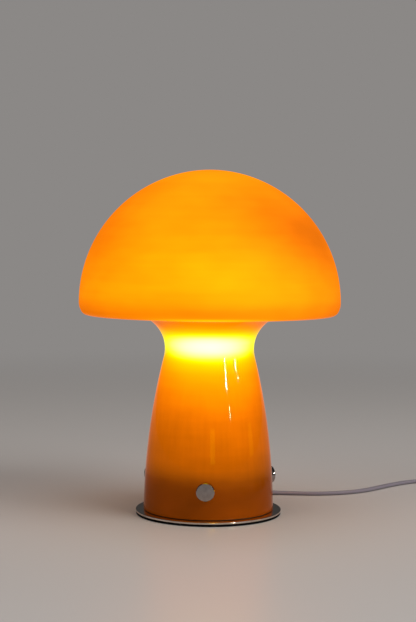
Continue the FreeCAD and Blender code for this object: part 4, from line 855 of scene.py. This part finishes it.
def clear_flex():
    """Clear PVC over tinned copper, extruded: glossy and pale, with two silvery cores showing.

    Each core fades out a millimetre from its middle. Its strands are a sine that slants across it.
    """
    material, tree = new_material("clear_pvc_twin_flex_extruded")
    lay = add(tree, "Attribute", attribute_name="lay")["Vector"]
    axes = add(tree, "SeparateXYZ", {"Vector": lay})
    side = add(tree, "Math", {0: axes["Y"]}, operation="ABSOLUTE")[0]
    aside = add(tree, "Math", {0: side, 1: CORE_OFFSET_MM}, operation="SUBTRACT")[0]
    off_core = add(tree, "Math", {0: aside}, operation="ABSOLUTE")[0]
    core = add(tree, "Math", {0: off_core, 1: -CORE_SHARPNESS, 2: CORE_SHARPNESS},
               operation="MULTIPLY_ADD", use_clamp=True)[0]
    slant = add(tree, "Math", {0: axes["Y"], 1: TWIST_ACROSS}, operation="MULTIPLY")[0]
    phase = add(tree, "Math", {0: axes["X"], 1: TWIST_ALONG, 2: slant}, operation="MULTIPLY_ADD")[0]
    twist = add(tree, "Math", {0: phase}, operation="SINE")[0]
    strand = add(tree, "Math", {0: twist, 1: 0.18, 2: 0.62}, operation="MULTIPLY_ADD")[0]
    tin = add(tree, "ValToRGB", {"Fac": strand}, [(0.4, "#6C6770"), (0.8, "#98929D")])["Color"]
    sheathed = add(tree, "Mix", {"Factor": core, "A": colour("#847D87"), "B": tin},
                   data_type="RGBA")["Result"]
    shader = add(tree, "BsdfPrincipled", {
        "IOR": 1.53, "Roughness": 0.3, "Coat Weight": 0.25, "Coat Roughness": 0.15,
        "Base Color": sheathed})["BSDF"]
    add(tree, "OutputMaterial", {"Surface": shader})
    return material


clear_cord = clear_flex()
dress(["cord_inside"], clear_cord)
dress(["lead_live", "lead_neutral"], soft_pvc)
switch_line = smooth_line("route_to_switch", to_switch)
cord_out = flat_cord("cord_to_switch", switch_line)
finish_piece(cord_out, "lamp", "clear_cord", clear_cord, "cord")
coil = coil_points()
coil_start = (coil[0][0], coil[0][1] + CORD_WIDTH, COIL_LEVELS[0])
coil_end = (coil[-1][0], coil[-1][1] - CORD_WIDTH, COIL_LEVELS[1])
to_plug = before_coil + [coil_start] + coil + [coil_end] + after_coil
plug_line = smooth_line("route_to_plug", to_plug)
cord_on = flat_cord("cord_to_plug_line", plug_line)
finish_piece(cord_on, "lamp", "clear_cord", clear_cord, "cord_to_coil", "cord_coil", "cord_to_plug")

# ---------------------------------------------------------------- inline switch
# Two shells of smoky clear polycarbonate, moulded and screwed together round the cord's ends, and
# an ABS rocker that tilts on a steel pin.

# Polycarbonate, moulded: greyish and translucent, so that the brass and the cord show as shadows.
polycarbonate = mottled("polycarbonate_moulded", {
    "IOR": 1.58, "Roughness": 0.18, "Transmission Weight": 0.5},
    ("#C6C8CA", "#D8DADB"), (12.0, 2.0, EVEN), depth_mm=0.015, grain=(0.8, 2.0, EVEN))
dress(["switch_lower", "switch_upper"], polycarbonate)
# ABS, moulded: pale grey, satin, with a fine spark-eroded texture drawn at 0.6 mm so that it shows.
abs_satin = mottled("abs_moulded_satin", {"Roughness": 0.42}, ("#C4C6C8", "#D3D5D7"),
                    (0.6, 2.0, EVEN), depth_mm=0.04)
dress(["switch_rocker"], abs_satin)

# ---------------------------------------------------------------- plug
# Flat two-pin plug in soft clear PVC, moulded on the cord, with nickelled pins and black sleeves at
# the pins' roots.
dress(["plug_body"], soft_pvc)
# Polyamide, moulded: black and semi-matt.
polyamide = mottled("polyamide_black_moulded", {"Roughness": 0.5}, ("#101010", "#1C1C1C"),
                    (0.6, 3.0, EVEN))
dress(["pin_sleeves"], polyamide)

# ---------------------------------------------------------------- coil tie
# Soft black rubber strap, moulded, that goes once round all the turns of the coil and overlaps
# itself on top. It is drawn as one closed loop in the CAD tie's place.
tie_low, tie_high = (np.array(corner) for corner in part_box("coil_tie"))
STRAP = 0.55 * MM
OVAL_POWER = 5
EDGE_POWER = 0.35


def tie_strap():
    """Loop in the XZ plane, a squared oval |x/a|^5 + |z/b|^5 = 1, with a flat section along Y."""
    turn = np.linspace(0.0, 2 * math.pi, 128, endpoint=False)
    around = np.linspace(0.0, 2 * math.pi, 16, endpoint=False)
    centre = (tie_low + tie_high) / 2
    half = (tie_high - tie_low) / 2
    powers = np.abs(np.cos(turn)) ** OVAL_POWER + np.abs(np.sin(turn)) ** OVAL_POWER
    size = powers ** (-1 / OVAL_POWER)
    inward = STRAP / 2 * (1 - np.cos(around))
    across = half[1] * np.sign(np.sin(around)) * np.abs(np.sin(around)) ** EDGE_POWER
    wide = (half[0] - inward[None, :]) * (size * np.cos(turn))[:, None]
    tall = (half[2] - inward[None, :]) * (size * np.sin(turn))[:, None]
    sideways = np.broadcast_to(across, wide.shape)
    points = np.stack([centre[0] + wide, centre[1] + sideways, centre[2] + tall], axis=-1)
    closed = np.concatenate([points, points[:1]])
    return new_mesh("strap_round_coil", closed, grid_faces(len(closed), len(around)), 60.0)


tie = tie_strap()
finish_piece(tie, "lamp", "black_rubber", black_rubber, "coil_tie")

# ---------------------------------------------------------------- stage
# Plain pale floor that fades into the backdrop's even grey, soft lamps, and the photograph's
# viewpoint.
FLOOR_RADIUS = 6.0
FADE_FROM, FADE_TO = 0.45, 1.6
BACKDROP = "#8B8886"
MIRRORED_SHARE = 0.2


def stage_floor():
    """Pale satin floor: a disc that turns into the backdrop's own grey away from the lamp."""
    floor = turned("floor", [(0.0, 0.0), (FLOOR_RADIUS, 0.0)], 96)
    material, tree = new_material("satin_floor")
    pale = add(tree, "BsdfPrincipled", {
        "Roughness": 0.34, "Specular IOR Level": 0.5, "Base Color": colour("#BDB8B4")})["BSDF"]
    plain = add(tree, "Emission", {"Color": colour(BACKDROP), "Strength": 1.0})[0]
    where = add(tree, "TexCoord")["Object"]
    reach = add(tree, "VectorMath", {0: where}, operation="LENGTH")["Value"]
    far = add(tree, "MapRange", {"Value": reach, "From Min": FADE_FROM, "From Max": FADE_TO},
              interpolation_type="SMOOTHSTEP")["Result"]
    mixed = add(tree, "MixShader", {"Fac": far, 1: pale, 2: plain})[0]
    add(tree, "OutputMaterial", {"Surface": mixed})
    floor.data.materials.append(material)


LAMP_AIM = Vector((0.0, 0.0, 0.13))


def soft_lamp(name, azimuth, elevation, distance, width, height, power,
              shown_in=None, tint="#FFFFFF"):
    """Area lamp aimed at the middle of the object, either a room lamp or an accent.

    A room lamp lights everything and isn't mirrored. An accent, with shown_in, lights nothing and
    is only mirrored, in the pieces of that collection.
    """
    data = bpy.data.lights.new(name, "AREA")
    data.shape = "RECTANGLE"
    data.size = width
    data.size_y = height
    data.energy = power
    data.color = colour(tint)[:3]
    lamp = bpy.data.objects.new(name, data)
    bpy.context.scene.collection.objects.link(lamp)
    round_z, up = math.radians(azimuth), math.radians(elevation)
    away = Vector((math.sin(round_z) * math.cos(up), -math.cos(round_z) * math.cos(up),
                   math.sin(up)))
    lamp.location = LAMP_AIM + away * distance
    lamp.rotation_mode = "QUATERNION"
    lamp.rotation_quaternion = away.to_track_quat("Z", "Y")
    lamp.visible_glossy = shown_in is not None
    lamp.visible_diffuse = shown_in is None
    lamp.light_linking.receiver_collection = shown_in


stage_floor()
world = bpy.data.worlds.new("even_grey")
bpy.context.scene.world = world
world.use_nodes = True
backdrop = world.node_tree.nodes["Background"].inputs
backdrop["Color"].default_value = colour(BACKDROP)
# The backdrop is an even grey to the eye and as light, and a fifth as bright mirrored in gloss.
ray = add(world.node_tree, "LightPath")["Is Glossy Ray"]
seen = add(world.node_tree, "MapRange", {
    "Value": ray, "To Min": 1.0, "To Max": MIRRORED_SHARE})["Result"]
world.node_tree.links.new(seen, backdrop["Strength"])

# Room lamps: azimuth, elevation, distance, width, height, power.
soft_lamp("key", 55, 40, 2.2, 1.2, 1.2, 28.0)
soft_lamp("fill", -50, 35, 2.6, 1.6, 1.6, 14.0)
soft_lamp("top", 0, 86, 2.2, 1.6, 1.6, 13.0)
# Accents, in the same order: strips draw the streaks on the stem, warm panes colour the metal.
glossy = bpy.data.collections.new("glossy_pieces")
for piece in [glass, plate] + screws:
    glossy.objects.link(piece)
for accent in [
        ("strip_near", 38.8, 17.4, 1.6, 0.034, 0.185, 19.0, glossy, "#FFF8DC"),
        ("strip_side", 67.0, 16.3, 1.6, 0.034, 0.065, 7.6, glossy, "#FFF8DC"),
        ("strip_dash", 69.7, 13.4, 1.6, 0.034, 0.014, 1.5, glossy, "#FFF8DC"),
        ("strip_low", 42.5, 8.4, 1.6, 0.03, 0.08, 3.0, glossy, "#FFF0C0"),
        ("pane_front", 7.0, 2.2, 1.6, 0.24, 0.21, 2.5, glossy, "#FFC800"),
        ("pane_side", 86.0, -0.5, 1.6, 0.26, 0.16, 0.9, glossy, "#FFC800")]:
    soft_lamp(*accent)

CAMERA_DISTANCE = 1.05
CAMERA_HEIGHT = 0.2106
CAMERA_DIP = 0.0523
CAMERA_YAW = 0.00124
CAMERA_ROLL = math.radians(0.42)
LENS_MM = 79.35
SENSOR_MM = 36.0
camera = bpy.data.objects.new("camera", bpy.data.cameras.new("camera"))
bpy.context.scene.collection.objects.link(camera)
camera.data.sensor_width = SENSOR_MM
camera.data.lens = LENS_MM
camera.matrix_world = (Matrix.Translation((0.0, -CAMERA_DISTANCE, CAMERA_HEIGHT))
                       @ Matrix.Rotation(CAMERA_YAW, 4, "Z")
                       @ Matrix.Rotation(math.pi / 2 - CAMERA_DIP, 4, "X")
                       @ Matrix.Rotation(CAMERA_ROLL, 4, "Z"))
bpy.context.scene.camera = camera
bpy.context.scene.view_settings.view_transform = "Standard"
